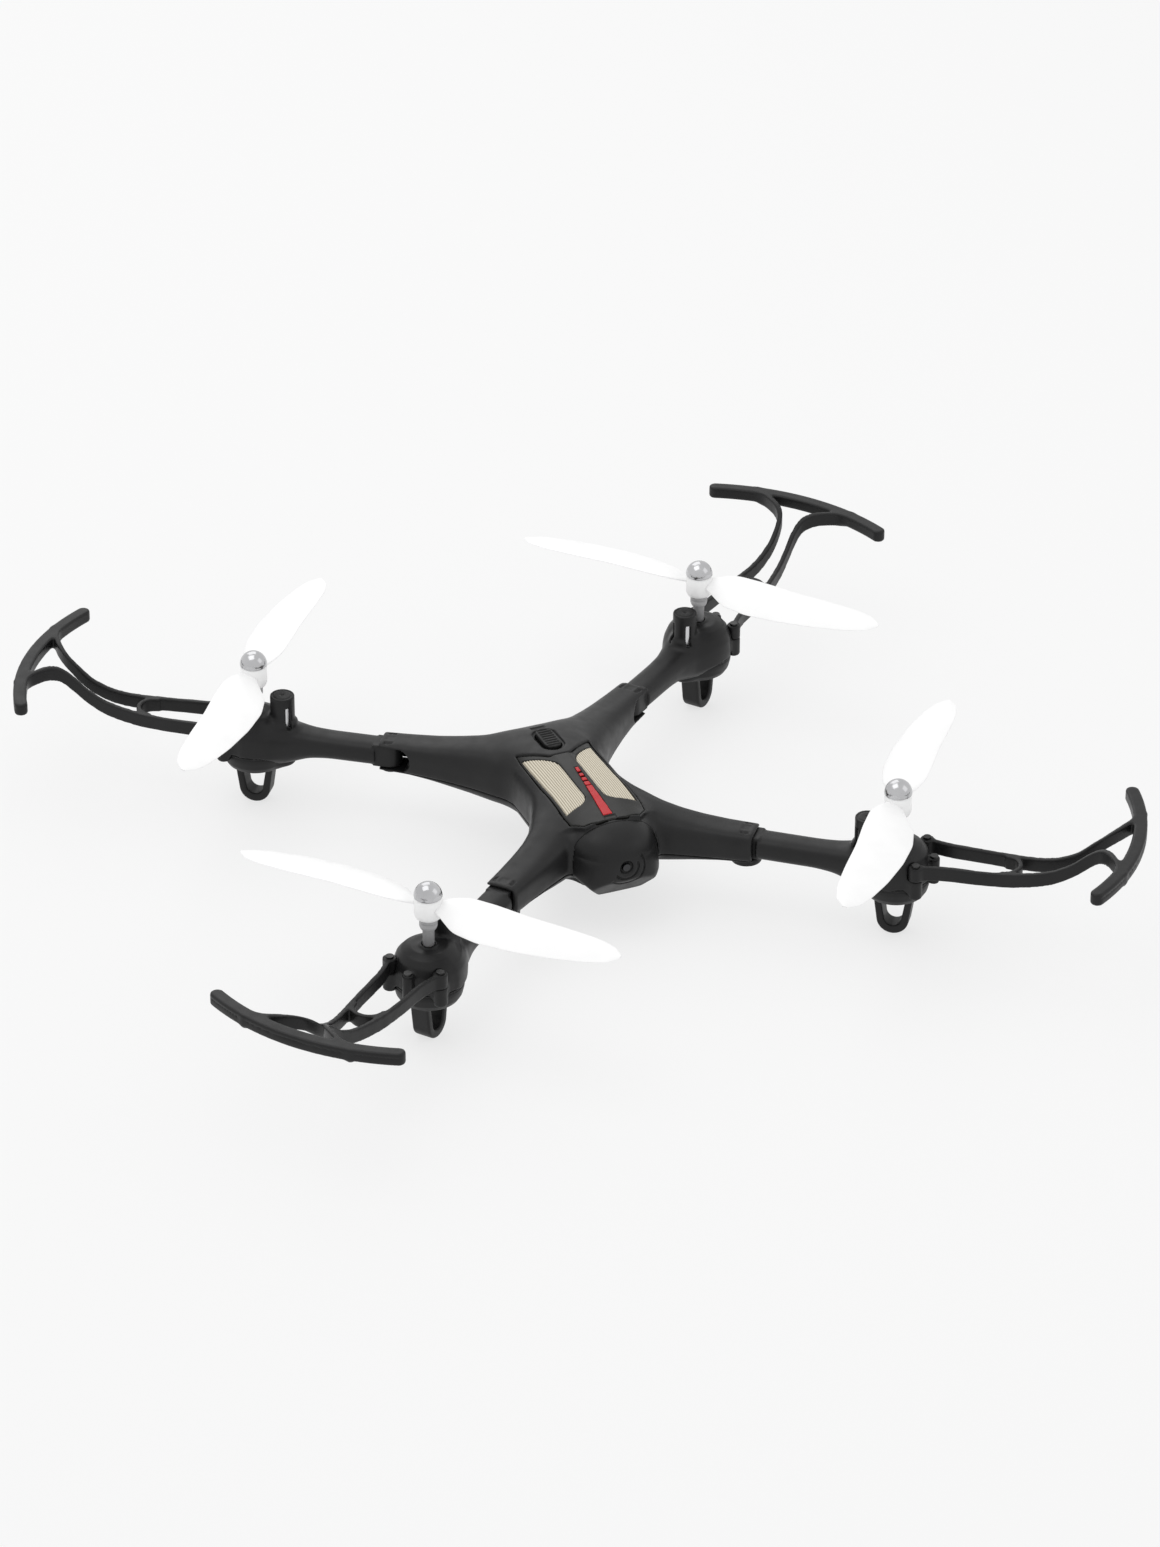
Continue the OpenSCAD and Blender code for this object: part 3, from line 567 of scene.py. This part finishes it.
def build_nose():
    step = 0.3
    lo, hi = (-21, -52, 10), (21, -35, 41)
    x, y, z = grid_axes(lo, hi, step)
    skin = nose_outside(x, y, z)
    d = np.maximum(skin, y - NOSE_SEAM)
    inside = slab(box2(x, y, 0, -38, 9, 5.0), z, 18.5, 31.5)
    d = np.maximum(d, -inside)
    lens = sum(cad_box("camera_lens")) / 2
    r = np.hypot(x - lens[0], z - lens[2])
    front = y + 40
    grooves = None
    for radius, low, high in ((4.3, -150, 20), (6.6, -140, 30)):
        angle = np.degrees(np.arctan2(z - lens[2], x - lens[0]))
        ring = np.abs(r - radius) - 0.3
        cut = np.maximum(ring, np.maximum(angle - high, low - angle) * 0.05)
        grooves = cut if grooves is None else np.minimum(grooves, cut)
    grooves = np.maximum(np.maximum(grooves, -skin - 0.45), front)
    d = np.maximum(d, -grooves)
    dish = np.maximum(r - 2.0 - 0.8 * (skin + 0.8), -skin - 0.8)
    d = np.maximum(d, -np.maximum(dish, front))
    d = np.maximum(d, -np.maximum(r - 1.34, front))
    mesh = mesh_from_field("nose_skin", d, lo, step)
    show("nose_skin", mesh, "body", BLACK, ("nose_cover",))


def build_fascia():
    step = 0.3
    lo, hi = (-15.5, -39.5, 33), (15.5, 18.5, 40)
    x, y, z = grid_axes(lo, hi, step)
    skin = body_distance(x, y, z)
    top = skin + fascia_drop(x, y)
    d = np.maximum(smax(top, fascia_plan(x, y), 0.3), -(skin + 1.05))
    d = np.maximum(d, fascia_front(x) + 0.12 - y)
    panels = np.minimum(panel_plan(x, y, 0.15), panel_plan(-x, y, 0.15))
    panels = np.maximum(panels, -(skin + 5))
    d = np.maximum(d, -panels)
    d = np.maximum(d, -np.maximum(stripe_plan(x, y, 0.06), -(skin + 0.5)))
    step_cut = np.maximum(box2(x, y, -0.1, -35.3, 2.1, 1.1, 0.3), -(skin + 0.35))
    d = np.maximum(d, -step_cut)
    mesh = mesh_from_field("fascia_skin", d, lo, step)
    show("fascia_skin", mesh, "body", GLOSS, ("top_fascia",))


def build_panels():
    step = 0.2
    lo, hi = (2.4, -29.5, 33), (13.2, 15.0, 40)
    x, y, z = grid_axes(lo, hi, step)
    skin = body_distance(x, y, z)
    ribs = 0.12 * np.cos(2 * np.pi * (x - 3.3) / RIB_PITCH)
    top = skin + 0.22 + 0.8 * fascia_drop(x, y) - ribs
    d = np.maximum(np.maximum(top, panel_plan(x, y)), -(skin + 1.3))
    mesh = mesh_from_field("panel_right_skin", d, lo, step)
    show("panel_right_skin", mesh, "body", CLOTH, ("mesh_panel_right",))
    left = transformed(mesh, Matrix.Diagonal((-1, 1, 1, 1)), "panel_left_skin")
    show("panel_left_skin", left, "body", CLOTH, ("mesh_panel_left",))


def build_stripe():
    step = 0.2
    lo, hi = (-3.5, -35, 35), (4, -1, 40)
    x, y, z = grid_axes(lo, hi, step)
    skin = body_distance(x, y, z)
    d = np.maximum(np.maximum(skin - 0.08, stripe_plan(x, y)), -(skin + 0.45))
    for gap_y, width in ((-14.6, 0.25), (-11.6, 0.4), (-8.8, 0.55), (-5.9, 0.7)):
        d = np.maximum(d, width - np.abs(y - gap_y))
    mesh = mesh_from_field("stripe_skin", d, lo, step)
    show("stripe_skin", mesh, "body", RED, ("stripe_inlay",))


def build_button():
    step = 0.22
    lo, hi = (-5, 10, 31), (5, 28, 41)
    x, y, z = grid_axes(lo, hi, step)
    top = cad_box("power_button")[1][2]
    d = slab(button_plan(x, y), z, top - 2.6, top, 0.4)
    teeth = -0.28 + 0.55 * np.abs(((y - 12.9) / 1.5) % 1 - 0.5) * 2
    ridges = np.maximum(np.abs(x) - 2.3, np.maximum(teeth, 13.2 - y))
    ridges = np.maximum(np.maximum(ridges, y - 24.9), top - 0.45 - z)
    d = np.maximum(d, -ridges)
    d = np.minimum(d, slab(disc(x, y, 0, BUTTON_Y, 1.4), z, 33.2, top - 1, 0.1))
    mesh = mesh_from_field("button_skin", d, lo, step)
    show("button_skin", mesh, "button", BUTTON, ("power_button",))


# ---------------------------------------------------------------- arms, pods and feet
# Radius and height round the rotor's axis
POD_PROFILE = [(11.8, 22.0), (11.8, 25.2), (11.55, 28.6), (10.6, 31.4), (8.8, 33.5), (6.2, 34.6)]
CUP_PROFILE = [(5.5, 13.9), (8.0, 14.3), (9.9, 15.3), (11.0, 17.1), (11.6, 19.6), (11.8, 21.98)]
# Posts that the guard is screwed to: place in the pod's frame and radius
POST_U, POST_V, POST_R = 8.6, 9.6, 2.4
TOWER_R, TOWER_TOP = 4.25, 42.6
KNUCKLE_R = 4.1
ARM_STEP = 0.4


def pod_coords(s, t, which):
    """Pod coordinates, u outwards through the guard, from arm coordinates."""
    length = float(np.linalg.norm(ROTOR - PIVOTS[which]))
    delta = POD_ANGLE - arm_angle(which)
    ds = s - length
    return ds * math.cos(delta) + t * math.sin(delta), -ds * math.sin(delta) + t * math.cos(delta)


def turned(r, z, profile):
    """Distance to a solid turned from a profile that ends short of the axis."""
    return polygon_distance(r, z, [(-a, b) for a, b in profile[::-1]] + profile)


def cup_outside(u, v, z, grow=0.0):
    """Outside of the pod's lower cup with the bulge under the motor."""
    d = turned(np.hypot(u, v), z, CUP_PROFILE)
    bulge = slab(disc(u, v, -MOTOR_OFFSET, 0, 4.4), z, 15.5, 21.98, 2.0)
    return smin(d, bulge, 2.5) - grow


def build_arm(which):
    length = float(np.linalg.norm(ROTOR - PIVOTS[which]))
    lo, hi = (-6, -16, 12), (length + 18, 16, 45)
    s, t, z = grid_axes(lo, hi, ARM_STEP)
    u, v = pod_coords(s, t, which)
    r = np.hypot(u, v)
    stations = [
        (4.5, 5.45, 4.1, 4.3),
        (length - 27, 5.45, 4.1, 4.3),
        (length - 20, 5.7, 4.5, 5.1),
        (length - 14, 7.0, 5.5, 7.4),
        (length - 8, 9.2, 6.4, 9.0),
        (length, 10.0, 6.4, 9.4),
    ]
    half, up, down = [smooth_curve(stations, k, 1.8) for k in (1, 2, 3)]
    height = np.where(z > ARM_Z, up(s), down(s))
    tube = superellipse(t - 0.2, z - ARM_Z, half(s), height, 2.7)
    tube = smax(smax(tube, 4.5 - s, 0.8), s - length, 1)
    pod = turned(r, z, POD_PROFILE)
    tower = slab(disc(u, v, -MOTOR_OFFSET, 0, TOWER_R), z, 22, TOWER_TOP, 0.5)
    skirt = slab(disc(u, v, -MOTOR_OFFSET, 0, TOWER_R + 0.9), z, 22, 33.0, 0.9)
    d = smin(tube, pod, 4.0)
    d = smin(d, skirt, 2.2)
    d = smin(d, tower, 1.4)
    posts = None
    for sign in (-1, 1):
        post = slab(disc(u, v, POST_U, sign * POST_V, POST_R), z, 19.5, 26.2, 0.5)
        posts = post if posts is None else np.minimum(posts, post)
    d = smin(d, posts, 2.4)
    d = smin(d, slab(disc(u, v, 13.0, 0, 1.9), z, 20.5, 30.2, 0.5), 1.4)
    d = smin(d, slab(r - 3.0, z, 33.4, 35.1, 0.3), 0.8)
    knuckle = np.minimum(disc(s, t, 0, 0, KNUCKLE_R), box2(s, t, 2.8, 0, 2.8, KNUCKLE_R))
    knuckle = slab(knuckle, z, ARM_Z - KNUCKLE_R, ARM_Z + KNUCKLE_R, 0.3)
    d = np.minimum(d, knuckle)
    d = np.maximum(d, -(cup_outside(u, v, z, 0.06)))
    gears = np.minimum(slab(r - 10.3, z, 12, 26), slab(r - 8, z, 20, 33.3))
    bore = slab(disc(u, v, -MOTOR_OFFSET, 0, 3.56), z, 10, 41.6)
    hole = slab(r - 2.2, z, 30, 40)
    pin = slab(disc(s, t, 0, 0, 1.55), z, 10, 40)
    tu, tv = u + MOTOR_OFFSET, np.abs(v)
    across, along = (tu + tv) / math.sqrt(2), (tv - tu) / math.sqrt(2)
    slots = slab(np.maximum(np.abs(across) - 0.85, np.maximum(1 - along, along - 8)), z, 30.9, 38.8)
    cut = np.minimum(np.minimum(np.minimum(gears, bore), np.minimum(hole, pin)), slots)
    for sign in (-1, 1):
        cut = np.minimum(cut, slab(disc(u, v, POST_U, sign * POST_V, POST_R + 0.15), z, 26.25, 45))
        cut = np.minimum(cut, slab(disc(u, v, POST_U, sign * POST_V, 0.7), z, 18, 45))
    cut = np.minimum(cut, slab(disc(u, v, 13, 0, 0.7), z, 24, 45))
    rim_line = np.maximum(np.abs(np.hypot(u + MOTOR_OFFSET, v) - 3.3) - 0.25, 42.25 - z)
    dimple = np.maximum(np.hypot(u + MOTOR_OFFSET, v) - 0.6, 42.1 - z)
    cut = np.minimum(cut, np.minimum(rim_line, dimple))
    d = np.maximum(d, -cut)
    mesh = mesh_from_field("arm_" + which, d, lo, ARM_STEP)
    place = at_angle(PIVOTS[which], arm_angle(which))
    for corner in CORNERS:
        if corner[0] == which:
            made = transformed(mesh, mirror_matrix(corner) @ place, "arm_skin_" + corner)
            show("arm_skin_" + corner, made, "arm_" + corner, BLACK, ("arm_shell_" + corner,))


def build_cup():
    step = 0.32
    lo, hi = (-17, -14, -1.5), (14, 14, 23.5)
    u, v, z = grid_axes(lo, hi, step)
    r = np.hypot(u, v)
    d = cup_outside(u, v, z)
    gear_room = slab(smax(r - 9.8, 0.7 * (r - 9.2) - 0.7 * (z - 16.1), 0.2), z, 16.1, 30)
    shell_cut = np.minimum(gear_room, slab(disc(u, v, -MOTOR_OFFSET, 0, 3.4), z, 15.9, 30))
    shell_cut = np.minimum(shell_cut, slab(disc(u, v, -MOTOR_OFFSET, 0, 3.65), z, 21.4, 30))
    shell_cut = np.minimum(shell_cut, slab(r - 1.9, z, 14.2, 30))
    width = np.interp(z, [0, 5.2, 14], [5.5, 5.5, 6.75]).astype(np.float32)
    leg = np.where(z < 5.2, np.hypot(u, np.minimum(z - 5.5, 0)) - 5.5, np.abs(u) - width)
    inner_w = np.interp(z, [6, 13.8], [3.0, 4.3]).astype(np.float32)
    eye = np.where(z < 6, np.hypot(u, z - 6) - 3.0, np.abs(u) - inner_w)
    eye = smax(eye, z - 14.2, 1.0)
    leg = smax(leg, -eye, 0.5)
    leg = np.maximum(leg, z - 15)
    dv = np.abs(v) - 3.4 + 0.7
    edge = leg + 0.7
    leg = np.hypot(np.maximum(edge, 0), np.maximum(dv, 0)) + np.minimum(np.maximum(edge, dv), 0) - 0.7
    leg = np.maximum(leg, -z)
    d = smin(d, leg, 1.2)
    d = np.maximum(d, -shell_cut)
    d = np.maximum(d, -z)
    groove = np.maximum(np.abs(z - 21.2) - 0.22, -(cup_outside(u, v, z) + 0.35))
    d = np.maximum(d, -groove)
    mesh = mesh_from_field("cup", d, lo, step)
    place = at_angle(ROTOR, POD_ANGLE)
    for corner in CORNERS:
        made = transformed(mesh, mirror_matrix(corner) @ place, "cup_skin_" + corner)
        show("cup_skin_" + corner, made, "arm_" + corner, BLACK_LOWER, ("pod_cup_" + corner,))


# ---------------------------------------------------------------- guards
# Rails in the pod's frame: distance out, half spacing and top
RAIL = [
    (10.2, 9.2, 31.3),
    (18, 7.6, 31.3),
    (30, 7, 31.1),
    (40, 6, 31.2),
    (48, 4.9, 32),
    (54, 4.2, 33.4),
    (60.6, 3.5, 36.8),
    (65, 3.5, 40.8),
    (69, 4.4, 44.2),
    (72.2, 7, 45.8),
    (75, 11, 46.2),
    (77.5, 15.6, 46.2),
    (79.1, 19.5, 46.2),
]
# Guard bar: outer radius, width, height, top and half the angle it spans
GUARD_R, GUARD_W, GUARD_H, GUARD_TOP, GUARD_EDGE = 83.0, 4.6, 4.3, 46.2, math.radians(24.6)
BRACE_U = 36.6


def build_guard():
    step = 0.42
    lo, hi = (5, -40, 24), (85, 40, 48.5)
    u, v, z = grid_axes(lo, hi, step)
    av = np.abs(v)
    table = np.array(RAIL)
    rail = line_distance(u, av, catmull([(float(a), float(b)) for a, b, _ in RAIL], 6)) - 0.9
    rail_top = smooth_curve(table[:, [0, 2]], 1, 1.6)
    top = rail_top(u)
    along = np.arange(0, 90, 0.5)
    slope = np.interp(u, along, np.gradient(rail_top(along), 0.5)).astype(np.float32)
    lean = 1 / np.sqrt(1 + slope**2)
    band_r = 0.35
    dz = (np.abs(z - top + 2.5) * lean - 2.5 * np.maximum(lean, 0.8)) + band_r
    brace = np.maximum(np.abs(np.hypot(u - BRACE_U, v) - 5.5) - 0.8, BRACE_U - u)
    flat = smin(rail, brace, 1.6)
    e = flat + band_r
    rails = np.hypot(np.maximum(e, 0), np.maximum(dz, 0)) + np.minimum(np.maximum(e, dz), 0) - band_r
    r = np.hypot(u, v)
    angle = np.arctan2(v, u)
    middle = GUARD_R - GUARD_W / 2
    ring = np.abs(r - middle) - GUARD_W / 2
    cu, cv = middle * math.cos(GUARD_EDGE), middle * math.sin(GUARD_EDGE)
    bar = np.where(np.abs(angle) < GUARD_EDGE, ring, np.hypot(u - cu, av - cv) - GUARD_W / 2)
    bar = slab(bar, z, GUARD_TOP - GUARD_H, GUARD_TOP, 0.7)
    line_mark = np.maximum(np.abs(z - GUARD_TOP + 1.5) - 0.16, GUARD_R - 0.3 - r)
    bar = np.maximum(bar, -line_mark)
    d = smin(bar, rails, 1.8)
    ears = slab(disc(u, av, POST_U, POST_V, POST_R), z, 26.3, 31.3, 0.35)
    d = smin(d, ears, 1.0)
    d = np.maximum(d, -slab(disc(u, av, POST_U, POST_V, 0.9), z, 20, 40))
    d = np.maximum(d, np.maximum(z - GUARD_TOP, 26.3 - z - 0.2))
    mesh = mesh_from_field("guard", d, lo, step)
    place = at_angle(ROTOR, POD_ANGLE)
    for corner in CORNERS:
        made = transformed(mesh, mirror_matrix(corner) @ place, "guard_skin_" + corner)
        show("guard_skin_" + corner, made, "arm_" + corner, BLACK, ("guard_" + corner,))


def catmull(points, count):
    """Smooth line through points."""
    p = np.array([points[0], *points, points[-1]], float)
    out = []
    for i in range(1, len(p) - 2):
        for k in range(count):
            w = k / count
            a, b, c, d = p[i - 1], p[i], p[i + 1], p[i + 2]
            square, cube = 2 * a - 5 * b + 4 * c - d, 3 * b - a - 3 * c + d
            out.append(tuple(0.5 * (2 * b + (c - a) * w + square * w**2 + cube * w**3)))
    out.append(tuple(p[-1]))
    return out


# ---------------------------------------------------------------- rotors
# Blade along its length: share of the radius, leading edge, trailing edge, pitch and thickness
BLADE = [
    (0.05, 2.4, -2.6, 16.0, 1.5),
    (0.10, 4.4, -5.6, 17.0, 1.4),
    (0.18, 5.6, -10.4, 16.0, 1.3),
    (0.32, 4.6, -13.4, 14.0, 1.2),
    (0.50, 2.6, -14.4, 12.0, 1.1),
    (0.70, 1.4, -13.8, 10.0, 1.0),
    (0.86, 0.0, -12.2, 9.0, 0.9),
    (0.95, -2.0, -10.4, 8.0, 0.8),
    (1.00, -5.4, -7.2, 8.0, 0.5),
]
BLADE_Z = 50.2


def blade_mesh(name):
    """One blade along +X, its leading edge towards +Y, with an aerofoil section."""
    table = np.array(BLADE)
    tip = 0.9 + 0.1 * np.sin(np.linspace(0, math.pi / 2, 21)[1:])
    share = np.concatenate([np.linspace(0.05, 0.9, 52), tip])
    col = [smooth_station(table, k)(share) for k in range(1, 5)]
    around = 40
    verts, faces = [], []
    for i, f in enumerate(share):
        lead, trail, pitch, thick = [c[i] for c in col]
        mid, half = (lead + trail) / 2, max((lead - trail) / 2, 0.3)
        a = math.radians(pitch)
        for k in range(around):
            t = 2 * math.pi * k / around
            c, s = math.cos(t), math.sin(t)
            camber = 0.045 * half * 2 * (1 - c * c)
            px = half * c
            pz = thick / 2 * s * (1 + 0.25 * c) + camber
            across = mid + px * math.cos(a) - pz * math.sin(a)
            verts.append((f * PROP_R, across, BLADE_Z + px * math.sin(a) + pz * math.cos(a)))
    last = len(share) - 1
    for i in range(last):
        for k in range(around):
            a, b = i * around + k, i * around + (k + 1) % around
            faces.append((a, a + around, b + around, b))
    faces.append(list(range(around)))
    faces.append([last * around + k for k in range(around - 1, -1, -1)])
    mesh = bpy.data.meshes.new(name)
    mesh.from_pydata([(x * MM, y * MM, z * MM) for x, y, z in verts], [], faces)
    mesh.update()
    return mesh


def smooth_station(table, column):
    """A smooth function through one column of the blade's table, exact at the tip."""
    fine = np.linspace(0, 1, 400)
    raw = np.interp(fine, table[:, 0], table[:, column])
    kernel = np.exp(-0.5 * (np.arange(-24, 25) / 8.0) ** 2)
    curve = np.convolve(np.pad(raw, 24, mode="edge"), kernel / kernel.sum(), mode="valid")
    tip = np.clip((fine - 0.9) / 0.08, 0, 1)
    curve = curve * (1 - tip) + raw * tip
    return lambda s: np.interp(s, fine, curve)


def lathe(name, profile, segments=64):
    """Closed turned piece about a vertical axis from (radius, height) points, in millimetres."""
    bm = bmesh.new()
    angles = [2 * math.pi * k / segments for k in range(segments)]
    rows = []
    for r, z in profile:
        turns = angles if r > 0 else [0.0]
        places = [(r * math.cos(a) * MM, r * math.sin(a) * MM, z * MM) for a in turns]
        rows.append([bm.verts.new(p) for p in places])
    for low, high in zip(rows[:-1], rows[1:]):
        for k in range(segments):
            j = (k + 1) % segments
            if len(low) == 1 and len(high) > 1:
                bm.faces.new((low[0], high[j], high[k]))
            elif len(high) == 1 and len(low) > 1:
                bm.faces.new((low[k], low[j], high[0]))
            elif len(low) > 1:
                bm.faces.new((low[k], low[j], high[j], high[k]))
    bmesh.ops.recalc_face_normals(bm, faces=bm.faces)
    mesh = bpy.data.meshes.new(name)
    bm.to_mesh(mesh)
    bm.free()
    mesh.shade_smooth()
    return mesh


def join_meshes(name, meshes):
    bm = bmesh.new()
    for m in meshes:
        bm.from_mesh(m)
    out = bpy.data.meshes.new(name)
    bm.to_mesh(out)
    bm.free()
    return out


# Turned pieces as radius and height, from the top down
HUB = [
    (0, 50.6),
    (2.05, 50.6),
    (2.05, 53.0),
    (4.3, 53.0),
    (4.6, 52.7),
    (4.6, 46.6),
    (4.2, 45.6),
    (3.9, 45.3),
    (1.02, 45.3),
    (1.02, 50.4),
    (0, 50.4),
]
CAP_R, CAP_Z = 4.7, 53.4
CAP_STEM = [(4.68, 53.2), (4.5, 53.04), (2.0, 53.04), (2.0, 51.0), (0, 51.0)]
SHAFT = [
    (0, 50.0),
    (1.0, 50.0),
    (1.0, 45.25),
    (2.7, 45.25),
    (3.0, 45.0),
    (3.0, 43.5),
    (2.86, 43.4),
    (2.86, 43.2),
    (3.0, 43.1),
    (3.0, 42.2),
    (2.7, 41.3),
    (2.2, 40.6),
    (1.95, 40.3),
    (1.95, 33.4),
    (1.0, 33.3),
    (1.0, 14.4),
    (0, 14.4),
]


def build_rotors():
    blade = blade_mesh("blade")
    blades = [transformed(blade, Matrix.Rotation(math.radians(a), 4, "Z"), "b") for a in (135, 315)]
    whole = join_meshes("propeller", blades + [lathe("hub", HUB)])
    whole.shade_smooth()
    place = Matrix.Translation((ROTOR[0] * MM, ROTOR[1] * MM, 0))
    for corner in CORNERS:
        made = transformed(whole, mirror_matrix(corner) @ place, "propeller_skin_" + corner)
        show("propeller_skin_" + corner, made, "rotor_" + corner, WHITE, ("propeller_" + corner,))
    bend = np.linspace(0.06, math.pi / 2, 24)
    dome = [(CAP_R * math.sin(a), CAP_Z + CAP_R * math.cos(a)) for a in bend]
    cap = lathe("cap", [(0, CAP_Z + CAP_R)] + dome + CAP_STEM)
    shaft = lathe("shaft", SHAFT)
    for corner in CORNERS:
        move = mirror_matrix(corner) @ place
        body = "rotor_" + corner
        name = "spinner_skin_" + corner
        show(name, transformed(cap, move, name), body, SILVER, ("spinner_cap_" + corner,))
        name = "shaft_skin_" + corner
        show(name, transformed(shaft, move, name), body, GREY, ("rotor_shaft_" + corner,))


# ---------------------------------------------------------------- CAD nodes that stay
KEPT = {
    "camera_lens": LENS,
    "camera_module": GREEN,
    "power_switch": STEEL,
    "circuit_board": GREEN,
    "battery": WRAP,
    "battery_door": BLACK_LOWER,
    "hinge_pins": STEEL,
    "shell_screws": STEEL,
}
KEPT_CORNER = {
    "motor": STEEL,
    "pinion": BRASS,
    "main_gear": GEAR,
    "shaft_bushes": BRASS,
    "pod_screws": DARK_STEEL,
}


def dress_cad_nodes():
    nodes = dict(KEPT)
    for part, material in KEPT_CORNER.items():
        for corner in CORNERS:
            nodes[part + "_" + corner] = material
    for name, material in nodes.items():
        obj = frame["nodes"][name]
        obj.data.materials.clear()
        obj.data.materials.append(material)


# ---------------------------------------------------------------- studio
def build_studio():
    mesh = bpy.data.meshes.new("floor")
    half = 6.0
    corners = [(-half, -half, 0), (half, -half, 0), (half, half, 0), (-half, half, 0)]
    mesh.from_pydata(corners, [], [(0, 1, 2, 3)])
    floor = bpy.data.objects.new("floor", mesh)
    bpy.context.scene.collection.objects.link(floor)
    material, _, shader = principled("floor", (0.22, 0.22, 0.22), 0.9, Specular_IOR_Level=0.0)
    shader.inputs["Emission Strength"].default_value = 0.69
    shader.inputs["Emission Color"].default_value = (1, 1, 1, 1)
    mesh.materials.append(material)
    world = bpy.data.worlds.new("studio")
    world.use_nodes = True
    world.node_tree.nodes["Background"].inputs["Color"].default_value = (1, 1, 1, 1)
    world.node_tree.nodes["Background"].inputs["Strength"].default_value = 0.92
    bpy.context.scene.world = world
    for name, place, size, power in (
        ("key", (-0.35, 0.1, 1.1), 0.8, 2.2),
        ("fill", (0.9, -0.6, 0.8), 0.8, 0.9),
        ("rim", (0.1, 1.0, 0.9), 0.9, 2.2),
    ):
        light = bpy.data.lights.new(name, "AREA")
        light.size = size
        light.energy = power
        lamp = bpy.data.objects.new(name, light)
        lamp.location = place
        lamp.rotation_euler = (-Vector(place)).to_track_quat("-Z", "Y").to_euler()
        bpy.context.scene.collection.objects.link(lamp)


CAMERA = {
    "azimuth": -22.93,
    "elevation": 30.71,
    "distance": 1.9843,
    "target": (0.0, -0.00885, 0.03989),
    "lens": 136.41,
    "roll": 0.0027,
}


def build_camera():
    a, e = math.radians(CAMERA["azimuth"]), math.radians(CAMERA["elevation"])
    back = Vector((math.sin(a) * math.cos(e), -math.cos(a) * math.cos(e), math.sin(e)))
    data = bpy.data.cameras.new("camera")
    data.lens = CAMERA["lens"]
    data.sensor_width = 36
    cam = bpy.data.objects.new("camera", data)
    cam.location = Vector(CAMERA["target"]) + back * CAMERA["distance"]
    turn = (-back).to_track_quat("-Z", "Y").to_matrix().to_4x4() @ Matrix.Rotation(CAMERA["roll"], 4, "Z")
    cam.rotation_euler = turn.to_euler()
    bpy.context.scene.collection.objects.link(cam)
    bpy.context.scene.camera = cam
    bpy.context.scene.view_settings.view_transform = "Standard"


build_body()
build_nose()
build_fascia()
build_panels()
build_stripe()
build_button()
for which in ("r", "f"):
    build_arm(which)
build_cup()
build_guard()
build_rotors()
dress_cad_nodes()
build_studio()
build_camera()
